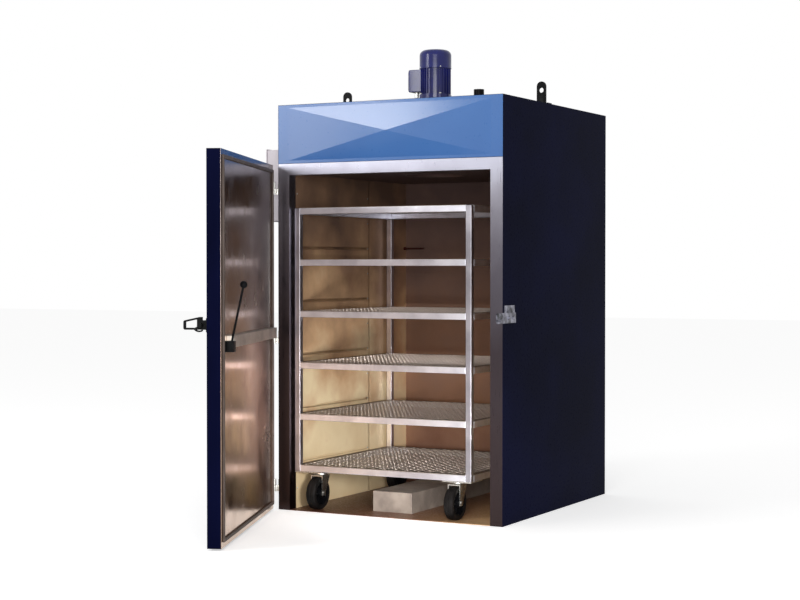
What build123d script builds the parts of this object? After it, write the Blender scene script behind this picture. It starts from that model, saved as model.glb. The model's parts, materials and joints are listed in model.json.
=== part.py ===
"""Truck-in drying oven: insulated cabinet, side-hinged door, air fan on the roof and a shelf trolley.

Millimetres. The origin is the centre of the cabinet's footprint on the floor, +X is to the right,
+Y to the back and +Z up. The door stands partly open and the trolley is in the chamber.
"""
from build123d import *
import math
import os

# Cabinet shell
CABINET_WIDTH = 1220.0
CABINET_DEPTH = 1300.0
CABINET_HEIGHT = 2000.0
SKIN = 1.5                  # painted outer sheets
LINER = 1.2                 # stainless inner sheets
FLANGE = 20.0               # folded returns of the outer sheets
SIDE_WALL = 64.0            # outer face of a side to the face inside the chamber
BACK_WALL = 70.0
DUCT_GAP = 22.0             # air duct between the two sheets of a side wall
FRAME_DEPTH = 60.0          # door frame, front to back
FRAME_SHEET = 2.0
OPENING_TOP = 1655.0        # clear height of the doorway
HEAD_BAR_HEIGHT = 55.0
HEADER_GAP = 2.0
HEADER_RISE = 14.0          # how far the cross-broken header stands out at its middle
HEADER_RETURN = 25.0
ROOF_WOOL = 61.0
CEILING_DROP = 8.0          # false ceiling above the top of the doorway
BASE_RAIL_HEIGHT = 60.0
BASE_RAIL_SHEET = 3.0
FLOOR_SHEET = 3.0
REST_GAP = 0.3              # play between a rolling tyre and the floor plate
PAST = 1.0                  # how far a cutter runs past what it cuts

# Air slots in the side ducts
SLOT_COUNT = 5
SLOT_BOTTOM = 235.0
SLOT_PITCH = 266.0
SLOT_HEIGHT = 14.0
SLOT_FRONT_MARGIN = 30.0
SLOT_BACK_MARGIN = 22.0
DUCT_SEAM = 805.0           # joint between the slotted and the plain panel, from the front
SEAM_GAP = 10.0

# Guide box on the floor, under the trolley
GUIDE_WIDTH = 215.0
GUIDE_HEIGHT = 100.0
GUIDE_FRONT = 150.0
GUIDE_SHEET = 2.0

# Circulation fan
FAN_FROM_FRONT = 515.0
INLET_RADIUS = 150.0
INLET_THROAT = 125.0
INLET_RISE = 45.0
IMPELLER_RADIUS = 200.0
IMPELLER_HEIGHT = 90.0
IMPELLER_PLATE = 3.0
IMPELLER_EYE = 135.0
IMPELLER_CLEARANCE = 12.0
BLADE_COUNT = 12
BLADE_THICKNESS = 2.5
BLADE_MARGIN = 4.0          # blade ends inside the rims they are welded to
SHAFT_RADIUS = 12.0
SHAFT_HOLE_RADIUS = 18.0
RUNNING_GAP = 0.05          # radial clearance of a shaft in its bore
HUB_RADIUS = 30.0
IMPELLER_HUB_HEIGHT = 50.0
SHAFT_END = 12.0            # shaft above the cooling fan

# Fan motor
MOTOR_RADIUS = 70.0
MOTOR_FIN_HEIGHT = 8.0
MOTOR_FIN_THICKNESS = 3.0
MOTOR_FIN_COUNT = 28
MOTOR_FIN_ROOT = 3.0
FIN_FREE_ANGLE = 35.0       # no fins this far to either side of the terminal box
END_SHIELD_HEIGHT = 20.0    # bearing shield over the flange
SHIELD_LUG_RADIUS = 10.0
SHIELD_LUG_CENTRE = 74.0    # from the axis
SHIELD_LUG_ANGLES = (45, 135, 225, 315)
MOTOR_BODY_HEIGHT = 168.0
MOTOR_FLANGE_RADIUS = 100.0
MOTOR_FLANGE_THICKNESS = 10.0
PEDESTAL_HEIGHT = 40.0
PEDESTAL_WALL = 5.0
COWL_RADIUS = 80.0
COWL_HEIGHT = 94.0
COWL_WALL = 2.0
COWL_ROUNDING = 28.0
COWL_LAP = 10.0
COWL_SEAT_GAP = 0.5
COWL_HOLE_RADIUS = 4.5
COWL_HOLE_RINGS = ((18.0, 6), (32.0, 12))
COOLING_FAN_RADIUS = 66.0
COOLING_FAN_HEIGHT = 26.0
COOLING_FAN_DISC = 3.0
COOLING_BLADES = 8
COOLING_FAN_RISE = 8.0      # above the motor body
COOLING_HUB_WALL = 8.0
TERMINAL_BOX_DEPTH = 55.0   # how far it stands out beside the fins
TERMINAL_BOX_WIDTH = 90.0
TERMINAL_BOX_HEIGHT = 112.0
TERMINAL_BOX_RISE = 44.0    # its underside above the motor's lower end
TERMINAL_BOX_LAP = 12.0     # how far it reaches over the motor body
TERMINAL_BOX_ROUNDING = 9.0

# Motor cable along the roof
CABLE_RADIUS = 5.0
CABLE_BEND = 50.0
CABLE_RUN = 172.0           # straight stretch on the roof
CABLE_LIFT = 1.0            # between the cable and the roof
GLAND_RADIUS = 11.0
GLAND_LENGTH = 24.0
JUNCTION_WIDTH = 60.0
JUNCTION_HEIGHT = 34.0
JUNCTION_ROUNDING = 5.0
CLIP_WIDTH = 12.0
CLIP_WALL = 2.0
CLIP_FOOT = 12.0

# Lifting lugs
LUG_FROM_FRONT = 585.0
LUG_INSET = 60.0
LUG_WIDTH = 48.0
LUG_HEIGHT = 115.0
LUG_THICKNESS = 12.0
LUG_HOLE_RADIUS = 12.5
LUG_HOLE_HEIGHT = 72.0
LUG_FOOT = 90.0
LUG_FOOT_THICKNESS = 8.0

# Vent on the roof
VENT_FROM_LEFT = 812.0
VENT_FROM_FRONT = 600.0
VENT_RADIUS = 22.0
VENT_WALL = 2.0
VENT_HEIGHT = 66.0
VENT_CAP_RADIUS = 26.0
VENT_CAP_HEIGHT = 28.0
VENT_GAP = 0.5
VENT_PORT_WIDTH = 14.0
VENT_PORT_HEIGHT = 22.0
VENT_PORT_EDGE = 2.0
VENT_CAP_SKIRT = 8.0

# Heating elements in the plenum
HEATER_TUBE_RADIUS = 4.25
HEATER_BEND = 22.0
HEATER_COUNT = 3            # hairpins on each side of the fan
HEATER_PITCH = 62.0
HEATER_LENGTH = 820.0
HEATER_FROM_CENTRE = 380.0
HEATER_FLANGE_THICKNESS = 5.0
HEATER_FLANGE_WIDTH = 76.0
HEATER_FLANGE_HEIGHT = 36.0

# Temperature probe on the back wall
PROBE_RADIUS = 4.0
PROBE_BOSS_RADIUS = 8.8
PROBE_LENGTH = 120.0
PROBE_HEIGHT = 1305.0
PROBE_FROM_SIDE = 9.0
PROBE_FROM_BACK = 22.0

# Door
DOOR_THICKNESS = 62.0
DOOR_GAP = 10.0             # inner face of the closed door to the frame
DOOR_BOTTOM = 8.0
DOOR_TOP = 1704.0
DOOR_OPEN_ANGLE = 68.0
GASKET_WIDTH = 16.0
GASKET_INSET = 24.0
GASKET_SQUEEZE_GAP = 0.6

# Hinges
HINGE_OFFSET = 20.0         # axis outside the cabinet's left face
HINGE_HEIGHTS = (120.0, 855.0, 1590.0)
HINGE_LENGTH = 60.0
HINGE_RADIUS = 11.0
HINGE_PIN_RADIUS = 6.0
HINGE_LEAF = 5.0
HINGE_LEAF_WIDTH = 44.0
HINGE_STEP_GAP = 0.5
HINGE_PIN_TOP = 3.0         # pin above the upper knuckle
HINGE_ARM_INSET = 2.0       # arm's face beside the axis
HINGE_ARM_LAP = 6.0         # arm over the leaf
CABINET_LEAF_SETBACK = 4.0
DOOR_LEAF_SETBACK = 12.0

# Latch on the door's outer face
LATCH_HEIGHT = 956.0
LATCH_PIVOT_OUT = 26.0      # pivot in front of the door's outer face
LATCH_BASE_WIDTH = 60.0
LATCH_BASE_HEIGHT = 60.0
LATCH_BASE_THICKNESS = 4.0
LATCH_EDGE_MARGIN = 6.0
CHEEK_THICKNESS = 8.0
CHEEK_HEIGHT = 40.0
CHEEK_PLAY = 2.0            # between a cheek and the lever
LEVER_SHAFT_RADIUS = 7.0
LEVER_HUB_RADIUS = 13.0
LEVER_WIDTH = 24.0
LEVER_LENGTH = 80.0
LEVER_DOOR_SIDE = 20.0      # grip beyond the pivot towards the door, when latched
LEVER_FREE_SIDE = 34.0      # and away from it at the root
LEVER_TIP_SIDE = 19.0       # and away from it at the tip
LEVER_SHOULDER = 12.0
LEVER_BAR = 8.0
LEVER_SHAFT_END = 4.0       # shaft beyond the far cheek
CLAW_HUB_RADIUS = 10.0
CLAW_PLAY = 0.5             # between the claw and the pin it holds
CLAW_WIDTH = 7.0
CLAW_THICKNESS = 10.0
CLAW_HALF_ANGLE = 35.0
CLAW_WEB_ANGLE = 28.0
SIDE_CLEARANCE = 6.0        # striker arm beside the swinging door edge

# Striker on the cabinet's right side
STRIKER_ARM = 6.0
STRIKER_ARM_BELOW = 14.0
STRIKER_ARM_ABOVE = 34.0
STRIKER_PAD_BELOW = 6.0
STRIKER_PAD_ABOVE = 68.0
STRIKER_PIN_RADIUS = 5.0
STRIKER_PIN_FROM_PIVOT = 16.0
STRIKER_TIP = 8.0
STRIKER_ROUNDING = 12.0
STRIKER_BOLT_INSET = 30.0
STRIKER_FRONT = 10.0
STRIKER_BACK = 120.0
STRIKER_BOLT_RISE = 10.0
STRIKER_HEAD_RADIUS = 8.0
STRIKER_HEAD = 4.0
CLAW_SIDE_GAP = 4.0
CLAW_HEAD_GAP = 2.0
BOLT_HEAD_RADIUS = 8.0
BOLT_HEAD_HEIGHT = 5.0

# Push bar and inside release on the door's inner face
PUSH_BAR_HEIGHT = 50.0
PUSH_BAR_PROUD = 32.0
PUSH_BAR_WALL = 2.0
PUSH_BAR_CENTRE = 882.0
PUSH_BAR_SIDE_GAP = 12.0
PUSH_BAR_END_GAP = 2.0      # between the bar and the release box
RELEASE_BOX_WIDTH = 40.0
RELEASE_BOX_HEIGHT = 47.0
RELEASE_BOX_PROUD = 40.0
RELEASE_BOX_WALL = 6.0
RELEASE_BOX_BOTTOM = 839.0
RELEASE_BOX_SIDE_GAP = 12.0
RELEASE_PIVOT_PROUD = 22.0
RELEASE_PIVOT_RISE = 22.0
RELEASE_PIN_RADIUS = 4.0
RELEASE_HUB_RADIUS = 9.0
RELEASE_HUB_PLAY = 1.0
RELEASE_ROD_RADIUS = 5.0
RELEASE_ROD_LENGTH = 272.0
RELEASE_LEAN = 12.0
RELEASE_BALL_RADIUS = 16.0

# Control box on the cabinet's left side
CONTROL_DEPTH = 130.0
CONTROL_WIDTH = 300.0
CONTROL_HEIGHT = 355.0
CONTROL_BOTTOM = 1435.0
CONTROL_FROM_FRONT = 105.0
CONTROL_WALL = 1.5
CONTROL_GAP = 0.5           # between the lid and a knob or pressed button
SPINDLE_REACH = 20.0        # stems and spindle inside the lid
LID_THICKNESS = 6.0
LID_LAP = 4.0
LID_ROUNDING = 6.0
DISPLAY_SIZE = 92.0
DISPLAY_DEPTH = 9.0
DISPLAY_ROUNDING = 5.0
DISPLAY_FRAME = 10.0
WINDOW_BELOW = 4.0          # window below the bezel's middle
WINDOW_DEPTH = 2.0
KNOB_RADIUS = 24.0
KNOB_HEIGHT = 20.0
KNOB_GRIP_WIDTH = 12.0
KNOB_GRIP_INSET = 2.0
KNOB_SPINDLE_RADIUS = 4.0
BUTTON_RADIUS = 11.0
BUTTON_HEIGHT = 8.0
BUTTON_ROUNDING = 2.0
BUTTON_STEM_RADIUS = 6.0
BUTTON_TRAVEL = 4.0
CONTROL_INSET = 82.0        # columns of controls and the upper row from the lid's edges
BUTTON_ROW_RISE = 65.6      # lower row above the lid's lower edge
BUTTON_SPACING = 46.0

# Trolley
TROLLEY_WIDTH = 968.0
TROLLEY_DEPTH = 980.0
TROLLEY_FROM_LEFT = 76.0    # its left side from the cabinet's left face
TROLLEY_FROM_FRONT = 30.0   # its front from the door frame's face
TUBE = 30.0                 # square tube of the frame
TUBE_WALL = 1.5
SHELF_COUNT = 6
SHELF_LOWEST = 208.0        # centre of the lowest shelf's tubes
SHELF_PITCH = 253.8
DECK_SHEET = 1.5
DECK_MARGIN = 1.0
HOLE_RADIUS = 12.0
HOLE_PITCH = 44.0
HOLE_EDGE = 34.0

# Casters
WHEEL_RADIUS = 80.0
TYRE_WIDTH = 50.0
TYRE_THICKNESS = 22.0
WHEEL_HUB_RADIUS = 24.0
WHEEL_WEB = 10.0
AXLE_RADIUS = 6.0
CASTER_TRAIL = 33.0
CASTER_INSET_X = 106.0
CASTER_INSET_Y = 78.0
CASTER_PLATE = 6.0
CASTER_PLATE_SIZE = 96.0
FORK_PLATE = 5.0
FORK_GAP = 3.0
FORK_BOSS_RADIUS = 26.0
FORK_WIDTH = 46.0
KINGPIN_RADIUS = 9.0
KINGPIN_LENGTH = 10.0       # below its plate
FORK_BORE = 11.0            # depth of the kingpin's bore
SWIVEL_GAP = 0.5            # between the fork and its plate
TYRE_CLEARANCE = 4.0        # between the tyre and the fork's bridge
TYRE_ROUNDING = 10.0
AXLE_END = 4.0              # axle beyond the fork
RIM_THICKNESS = 5.0
RIM_INSET = 4.0

# Places worked out from the sizes above
LEFT = -CABINET_WIDTH / 2
RIGHT = CABINET_WIDTH / 2
FRONT = -CABINET_DEPTH / 2
BACK = CABINET_DEPTH / 2
ROOF = CABINET_HEIGHT
CHAMBER_LEFT = LEFT + SIDE_WALL
CHAMBER_RIGHT = RIGHT - SIDE_WALL
CHAMBER_BACK = BACK - BACK_WALL
LINER_LEFT = CHAMBER_LEFT - LINER - DUCT_GAP - LINER
LINER_RIGHT = -LINER_LEFT
PLENUM_TOP = ROOF - SKIN - ROOF_WOOL
CEILING = OPENING_TOP + CEILING_DROP
HEADER_BOTTOM = OPENING_TOP + HEAD_BAR_HEIGHT + HEADER_GAP
FRAME_BACK = FRONT + FRAME_DEPTH
FAN_X = 0.0
FAN_Y = FRONT + FAN_FROM_FRONT
MOTOR_BASE = ROOF + PEDESTAL_HEIGHT
MOTOR_TOP = MOTOR_BASE + MOTOR_BODY_HEIGHT
IMPELLER_BOTTOM = CEILING + LINER + INLET_RISE + IMPELLER_CLEARANCE
HINGE_X = LEFT - HINGE_OFFSET
HINGE_Y = FRONT - DOOR_GAP
DOOR_INNER = FRONT - DOOR_GAP
DOOR_OUTER = DOOR_INNER - DOOR_THICKNESS
LATCH_Y = DOOR_OUTER - LATCH_PIVOT_OUT
LATCH_BASE_RIGHT = RIGHT - LATCH_EDGE_MARGIN
STRIKER_INNER = RIGHT + SIDE_CLEARANCE
STRIKER_OUTER = STRIKER_INNER + STRIKER_ARM
CLAW_INNER_RADIUS = STRIKER_PIN_FROM_PIVOT + STRIKER_PIN_RADIUS + CLAW_PLAY
CLAW_OUTER_RADIUS = CLAW_INNER_RADIUS + CLAW_WIDTH
CLAW_LEFT = STRIKER_OUTER + CLAW_SIDE_GAP
CLAW_RIGHT = CLAW_LEFT + CLAW_THICKNESS
STRIKER_PIN_Y = LATCH_Y + STRIKER_PIN_FROM_PIVOT
TROLLEY_LEFT = LEFT + TROLLEY_FROM_LEFT
TROLLEY_RIGHT = TROLLEY_LEFT + TROLLEY_WIDTH
TROLLEY_FRONT = FRONT + TROLLEY_FROM_FRONT
TROLLEY_BACK = TROLLEY_FRONT + TROLLEY_DEPTH
TROLLEY_X = (TROLLEY_LEFT + TROLLEY_RIGHT) / 2
WHEEL_Z = FLOOR_SHEET + REST_GAP + WHEEL_RADIUS
FRAME_UNDERSIDE = SHELF_LOWEST - TUBE / 2
SHELF_LEVELS = [SHELF_LOWEST + SHELF_PITCH * i for i in range(SHELF_COUNT)]
UPRIGHT_TOP = SHELF_LEVELS[-1] + TUBE / 2
LID_X = LEFT - CONTROL_DEPTH
CONTROL_FRONT = FRONT + CONTROL_FROM_FRONT
CONTROL_BACK = CONTROL_FRONT + CONTROL_WIDTH
CONTROL_TOP = CONTROL_BOTTOM + CONTROL_HEIGHT


def block(x0, x1, y0, y1, z0, z1):
    """Box between two corners."""
    centre = Pos((x0 + x1) / 2, (y0 + y1) / 2, (z0 + z1) / 2)
    return centre * Box(abs(x1 - x0), abs(y1 - y0), abs(z1 - z0))


def rod_x(x0, x1, y, z, radius):
    """Round bar along X."""
    return Pos((x0 + x1) / 2, y, z) * Rot(0, 90, 0) * Cylinder(radius, abs(x1 - x0))


def rod_y(x, y0, y1, z, radius):
    """Round bar along Y."""
    return Pos(x, (y0 + y1) / 2, z) * Rot(90, 0, 0) * Cylinder(radius, abs(y1 - y0))


def rod_z(x, y, z0, z1, radius):
    """Upright round bar."""
    return Pos(x, y, (z0 + z1) / 2) * Cylinder(radius, abs(z1 - z0))


def ring_z(x, y, z0, z1, outer, inner):
    """Upright tube."""
    return rod_z(x, y, z0, z1, outer) - rod_z(x, y, z0 - PAST, z1 + PAST, inner)


def profile_yz(points, x0, x1):
    """Plate between x0 and x1 whose outline is a list of (y, z) points."""
    outline = Polyline([(x0, y, z) for y, z in points], close=True)
    return extrude(make_face(outline), amount=x1 - x0, dir=(1, 0, 0))


def turned_about_z(profile, x, y):
    """Solid of revolution from (radius, z) points about an upright axis."""
    outline = Polyline([(r, 0, z) for r, z in profile], close=True)
    return Pos(x, y, 0) * revolve(make_face(outline), Axis.Z)


def swung(shape):
    """Take a piece of the closed door to where the open door stands."""
    return shape.rotate(Axis((HINGE_X, HINGE_Y, 0), (0, 0, -1)), DOOR_OPEN_ANGLE)


def side_panel(side):
    """Painted side sheet with returns along its top, back and bottom; side is -1 left or 1 right."""
    outer = side * CABINET_WIDTH / 2
    inner = outer - side * SKIN
    lip = outer - side * FLANGE
    top = ROOF - SKIN
    panel = block(outer, inner, FRONT, BACK - SKIN, 0, top)
    panel += block(outer, lip, FRONT + HEADER_RETURN, BACK - SKIN, top - SKIN, top)
    panel += block(outer, lip, BACK - 2 * SKIN, BACK - SKIN, 0, top)
    panel += block(outer, lip, FRAME_BACK, BACK - SKIN, 0, SKIN)
    return panel


def back_panel():
    """Painted back sheet that closes the cabinet behind the side sheets."""
    return block(LEFT, RIGHT, BACK - SKIN, BACK, 0, ROOF - SKIN)


def roof_panel():
    """Painted roof sheet, with the holes for the fan shaft and the vent."""
    panel = block(LEFT, RIGHT, FRONT, BACK, ROOF - SKIN, ROOF)
    panel -= rod_z(FAN_X, FAN_Y, ROOF - 2 * SKIN, ROOF + SKIN, SHAFT_HOLE_RADIUS)
    vent_x, vent_y = vent_place()
    panel -= rod_z(vent_x, vent_y, ROOF - 2 * SKIN, ROOF + SKIN, VENT_RADIUS)
    return panel


def header_panel():
    """Painted header whose face is cross-broken into a shallow four-sided pyramid."""
    x0, x1 = LEFT + SKIN, RIGHT - SKIN
    z0, z1 = HEADER_BOTTOM, ROOF - SKIN
    back = FRONT + HEADER_RETURN
    tray = block(x0, x1, FRONT, back, z0, z1)
    tray -= block(x0 + SKIN, x1 - SKIN, FRONT - PAST, back + PAST, z0 + SKIN, z1 - SKIN)
    skin = pyramid_solid(x0, x1, z0, z1, FRONT + SKIN, HEADER_RISE + SKIN)
    hollow = pyramid_solid(x0, x1, z0, z1, FRONT + SKIN, HEADER_RISE)
    rim = block(x0, x1, FRONT, FRONT + SKIN, z0, z1)
    rim -= pyramid_solid(x0, x1, z0, z1, FRONT + SKIN, HEADER_RISE)
    return tray + (skin - hollow) + rim


def pyramid_solid(x0, x1, z0, z1, base_y, rise):
    """Four-sided pyramid standing out towards -Y from a rectangle in the XZ plane."""
    corners = [Vector(x0, base_y, z0), Vector(x1, base_y, z0), Vector(x1, base_y, z1), Vector(x0, base_y, z1)]
    tip = Vector((x0 + x1) / 2, base_y - rise, (z0 + z1) / 2)
    faces = [make_face(Polyline(corners, close=True)).face()]
    for i in range(4):
        edge = [corners[i], corners[(i + 1) % 4], tip]
        faces.append(make_face(Polyline(edge, close=True)).face())
    return Solid(Shell(faces)).fix()


def base_frame():
    """Steel rails inside the foot of the side and back walls."""
    inner_left, inner_right = LEFT + SKIN, RIGHT - SKIN
    left = block(inner_left, LINER_LEFT, FRAME_BACK, BACK - 2 * SKIN, SKIN, BASE_RAIL_HEIGHT)
    right = block(inner_right, LINER_RIGHT, FRAME_BACK, BACK - 2 * SKIN, SKIN, BASE_RAIL_HEIGHT)
    hollow = BASE_RAIL_SHEET
    left -= block(inner_left + hollow, LINER_LEFT - hollow, FRAME_BACK - PAST, BACK, SKIN + hollow,
                  BASE_RAIL_HEIGHT - hollow)
    right -= block(inner_right - hollow, LINER_RIGHT + hollow, FRAME_BACK - PAST, BACK, SKIN + hollow,
                   BASE_RAIL_HEIGHT - hollow)
    rear = block(LINER_LEFT, LINER_RIGHT, CHAMBER_BACK + LINER, BACK - SKIN, SKIN, BASE_RAIL_HEIGHT)
    rear -= block(LINER_LEFT - PAST, LINER_RIGHT + PAST, CHAMBER_BACK + LINER + hollow, BACK - SKIN - hollow,
                  SKIN + hollow, BASE_RAIL_HEIGHT - hollow)
    return [left, right, rear]


def door_frame():
    """Stainless frame round the doorway: two jambs and a head bar, each an angle."""
    solids = []
    for side in (-1, 1):
        outer = side * (CABINET_WIDTH / 2 - SKIN)
        inner = side * (CABINET_WIDTH / 2 - SIDE_WALL)
        jamb = block(outer, inner, FRONT, FRONT + FRAME_SHEET, 0, OPENING_TOP)
        jamb += block(inner + side * FRAME_SHEET, inner, FRONT, FRAME_BACK, 0, OPENING_TOP)
        solids.append(jamb)
    top = OPENING_TOP + HEAD_BAR_HEIGHT
    head = block(LEFT + SKIN, RIGHT - SKIN, FRONT, FRONT + FRAME_SHEET, OPENING_TOP, top)
    head += block(LEFT + SKIN, RIGHT - SKIN, FRONT, FRAME_BACK, OPENING_TOP, OPENING_TOP + FRAME_SHEET)
    solids.append(head)
    return solids


def insulation_wool():
    """Mineral wool slabs in the walls, the roof and behind the header."""
    bottom = BASE_RAIL_HEIGHT
    back = BACK - 2 * SKIN
    solids = []
    for side in (-1, 1):
        outer = side * (CABINET_WIDTH / 2 - SKIN)
        solids.append(block(outer, side * LINER_RIGHT, FRAME_BACK, back, bottom, PLENUM_TOP))
    rear = block(LINER_LEFT, LINER_RIGHT, CHAMBER_BACK + LINER, BACK - SKIN, bottom, PLENUM_TOP)
    solids.append(rear)
    top = block(LEFT + FLANGE, RIGHT - FLANGE, FRONT + HEADER_RETURN, back, PLENUM_TOP + LINER,
                ROOF - 2 * SKIN)
    top -= rod_z(FAN_X, FAN_Y, PLENUM_TOP, ROOF, SHAFT_HOLE_RADIUS)
    vent_x, vent_y = vent_place()
    top -= rod_z(vent_x, vent_y, PLENUM_TOP, ROOF, VENT_RADIUS)
    solids.append(top)
    front_low = OPENING_TOP + HEAD_BAR_HEIGHT + HEADER_GAP
    front = block(LINER_LEFT, LINER_RIGHT, FRONT + HEADER_RETURN, FRAME_BACK, front_low, PLENUM_TOP)
    solids.append(front)
    return solids


def outer_liners():
    """Stainless sheets against the wool: both sides, the plenum's top and its front."""
    sides = []
    for side in (-1, 1):
        near = side * LINER_RIGHT
        sheet = block(near, near - side * LINER, FRAME_BACK, CHAMBER_BACK, FLOOR_SHEET, PLENUM_TOP)
        sides.append(sheet)
    top = block(LINER_LEFT, LINER_RIGHT, FRAME_BACK, CHAMBER_BACK + LINER, PLENUM_TOP, PLENUM_TOP + LINER)
    top -= rod_z(FAN_X, FAN_Y, PLENUM_TOP - PAST, PLENUM_TOP + LINER + PAST, SHAFT_HOLE_RADIUS)
    vent_x, vent_y = vent_place()
    top -= rod_z(vent_x, vent_y, PLENUM_TOP - PAST, PLENUM_TOP + LINER + PAST, VENT_RADIUS)
    front = block(LINER_LEFT + LINER, LINER_RIGHT - LINER, FRAME_BACK, FRAME_BACK + LINER, CEILING,
                  PLENUM_TOP)
    front += block(CHAMBER_LEFT, CHAMBER_RIGHT, FRAME_BACK, FRAME_BACK + LINER, OPENING_TOP + FRAME_SHEET,
                   CEILING)
    return sides + [top, front]


def duct_wall(side):
    """Inner sheet of one side duct: a slotted panel in front and a plain one behind."""
    face = side * (CABINET_WIDTH / 2 - SIDE_WALL)
    behind = face + side * LINER
    deep = behind + side * DUCT_GAP
    seam = FRONT + DUCT_SEAM
    front_edge = FRAME_BACK
    low = FLOOR_SHEET
    slotted = block(face, behind, front_edge, seam - SEAM_GAP / 2, low, CEILING)
    slotted += block(face, deep, front_edge, front_edge + LINER, low, CEILING)
    slotted += block(face, deep, front_edge, seam - SEAM_GAP / 2, low, low + LINER)
    for i in range(SLOT_COUNT):
        z = SLOT_BOTTOM + SLOT_PITCH * i
        slotted -= block(face - side, behind + side, front_edge + SLOT_FRONT_MARGIN,
                         seam - SLOT_BACK_MARGIN, z - SLOT_HEIGHT / 2, z + SLOT_HEIGHT / 2)
    plain = block(face, behind, seam + SEAM_GAP / 2, CHAMBER_BACK, low, CEILING)
    plain += block(face, deep, seam + SEAM_GAP / 2, CHAMBER_BACK, low, low + LINER)
    return [slotted, plain]


def back_liner():
    """Stainless back wall of the chamber and the plenum."""
    return block(LINER_LEFT, LINER_RIGHT, CHAMBER_BACK, CHAMBER_BACK + LINER, FLOOR_SHEET, PLENUM_TOP)


def false_ceiling():
    """Ceiling of the chamber, with the fan's inlet ring raised from it."""
    sheet = block(CHAMBER_LEFT - LINER, CHAMBER_RIGHT + LINER, FRAME_BACK + LINER, CHAMBER_BACK,
                  CEILING, CEILING + LINER)
    sheet -= rod_z(FAN_X, FAN_Y, CEILING - PAST, CEILING + LINER + PAST, INLET_RADIUS)
    rise = CEILING + INLET_RISE
    profile = [(INLET_RADIUS, CEILING), (INLET_RADIUS + LINER * 2, CEILING), (INLET_THROAT + LINER * 2, rise),
               (INLET_THROAT, rise)]
    return sheet + turned_about_z(profile, FAN_X, FAN_Y)


def floor_plate():
    """Stainless floor sheet that the trolley rolls on."""
    return block(CHAMBER_LEFT, CHAMBER_RIGHT, FRONT, CHAMBER_BACK, 0, FLOOR_SHEET)


def guide_box():
    """Low box along the floor that keeps the trolley central."""
    x0, x1 = TROLLEY_X - GUIDE_WIDTH / 2, TROLLEY_X + GUIDE_WIDTH / 2
    y0 = FRONT + GUIDE_FRONT
    z0, z1 = FLOOR_SHEET, FLOOR_SHEET + GUIDE_HEIGHT
    shell = block(x0, x1, y0, CHAMBER_BACK, z0, z1)
    shell -= block(x0 + GUIDE_SHEET, x1 - GUIDE_SHEET, y0 + GUIDE_SHEET, CHAMBER_BACK + PAST, z0 - PAST,
                   z1 - GUIDE_SHEET)
    return shell


def vent_place():
    """Where the vent's axis meets the roof."""
    return LEFT + VENT_FROM_LEFT, FRONT + VENT_FROM_FRONT


def motor_mount():
    """Pedestal on the roof: a foot ring, a round wall and the flange under the motor."""
    foot = ring_z(FAN_X, FAN_Y, ROOF, ROOF + PEDESTAL_WALL, MOTOR_FLANGE_RADIUS, SHAFT_HOLE_RADIUS)
    top = MOTOR_BASE
    wall = ring_z(FAN_X, FAN_Y, ROOF, top, MOTOR_RADIUS, MOTOR_RADIUS - PEDESTAL_WALL)
    cap = ring_z(FAN_X, FAN_Y, top - PEDESTAL_WALL, top, MOTOR_RADIUS + MOTOR_FIN_HEIGHT, SHAFT_HOLE_RADIUS)
    return foot + wall + cap


def motor_housing():
    """Finned motor body with its flange, its bearing shield and a bore for the shaft."""
    body = rod_z(FAN_X, FAN_Y, MOTOR_BASE, MOTOR_TOP, MOTOR_RADIUS)
    flange_top = MOTOR_BASE + MOTOR_FLANGE_THICKNESS
    body += rod_z(FAN_X, FAN_Y, MOTOR_BASE, flange_top, MOTOR_RADIUS + MOTOR_FIN_HEIGHT)
    fin_out = MOTOR_RADIUS + MOTOR_FIN_HEIGHT
    for i in range(MOTOR_FIN_COUNT):
        angle = 360 * (i + 0.5) / MOTOR_FIN_COUNT
        if abs(angle - 180) < FIN_FREE_ANGLE:
            continue
        fin = block(MOTOR_RADIUS - MOTOR_FIN_ROOT, fin_out, -MOTOR_FIN_THICKNESS / 2, MOTOR_FIN_THICKNESS / 2,
                    flange_top, MOTOR_TOP - COWL_LAP)
        body += Pos(FAN_X, FAN_Y, 0) * Rot(0, 0, angle) * fin
    shield_top = flange_top + END_SHIELD_HEIGHT
    body += rod_z(FAN_X, FAN_Y, MOTOR_BASE, shield_top, fin_out)
    for angle in SHIELD_LUG_ANGLES:
        turn = math.radians(angle)
        x, y = FAN_X + SHIELD_LUG_CENTRE * math.cos(turn), FAN_Y + SHIELD_LUG_CENTRE * math.sin(turn)
        body += rod_z(x, y, MOTOR_BASE, shield_top, SHIELD_LUG_RADIUS)
    body -= rod_z(FAN_X, FAN_Y, MOTOR_BASE - PAST, MOTOR_TOP + PAST, SHAFT_RADIUS + RUNNING_GAP)
    return body


def fan_cowl():
    """Domed cover over the motor's cooling fan, with air holes in its top."""
    low = MOTOR_TOP - COWL_LAP + COWL_SEAT_GAP
    high = low + COWL_HEIGHT
    outer = fillet(rod_z(FAN_X, FAN_Y, low, high, COWL_RADIUS).edges().sort_by(Axis.Z)[-1], COWL_ROUNDING)
    inner_low = low - PAST
    inner = rod_z(FAN_X, FAN_Y, inner_low, high - COWL_WALL, COWL_RADIUS - COWL_WALL)
    inner = fillet(inner.edges().sort_by(Axis.Z)[-1], COWL_ROUNDING - COWL_WALL)
    cowl = outer - inner
    seat = ring_z(FAN_X, FAN_Y, low, MOTOR_TOP, COWL_RADIUS - COWL_WALL / 2, MOTOR_RADIUS)
    cowl += seat
    holes = []
    for ring, count in COWL_HOLE_RINGS:
        for i in range(count):
            angle = math.radians(360 * i / count)
            x, y = FAN_X + ring * math.cos(angle), FAN_Y + ring * math.sin(angle)
            holes.append(rod_z(x, y, high - 4 * COWL_WALL, high + PAST, COWL_HOLE_RADIUS))
    return cowl - holes


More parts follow.
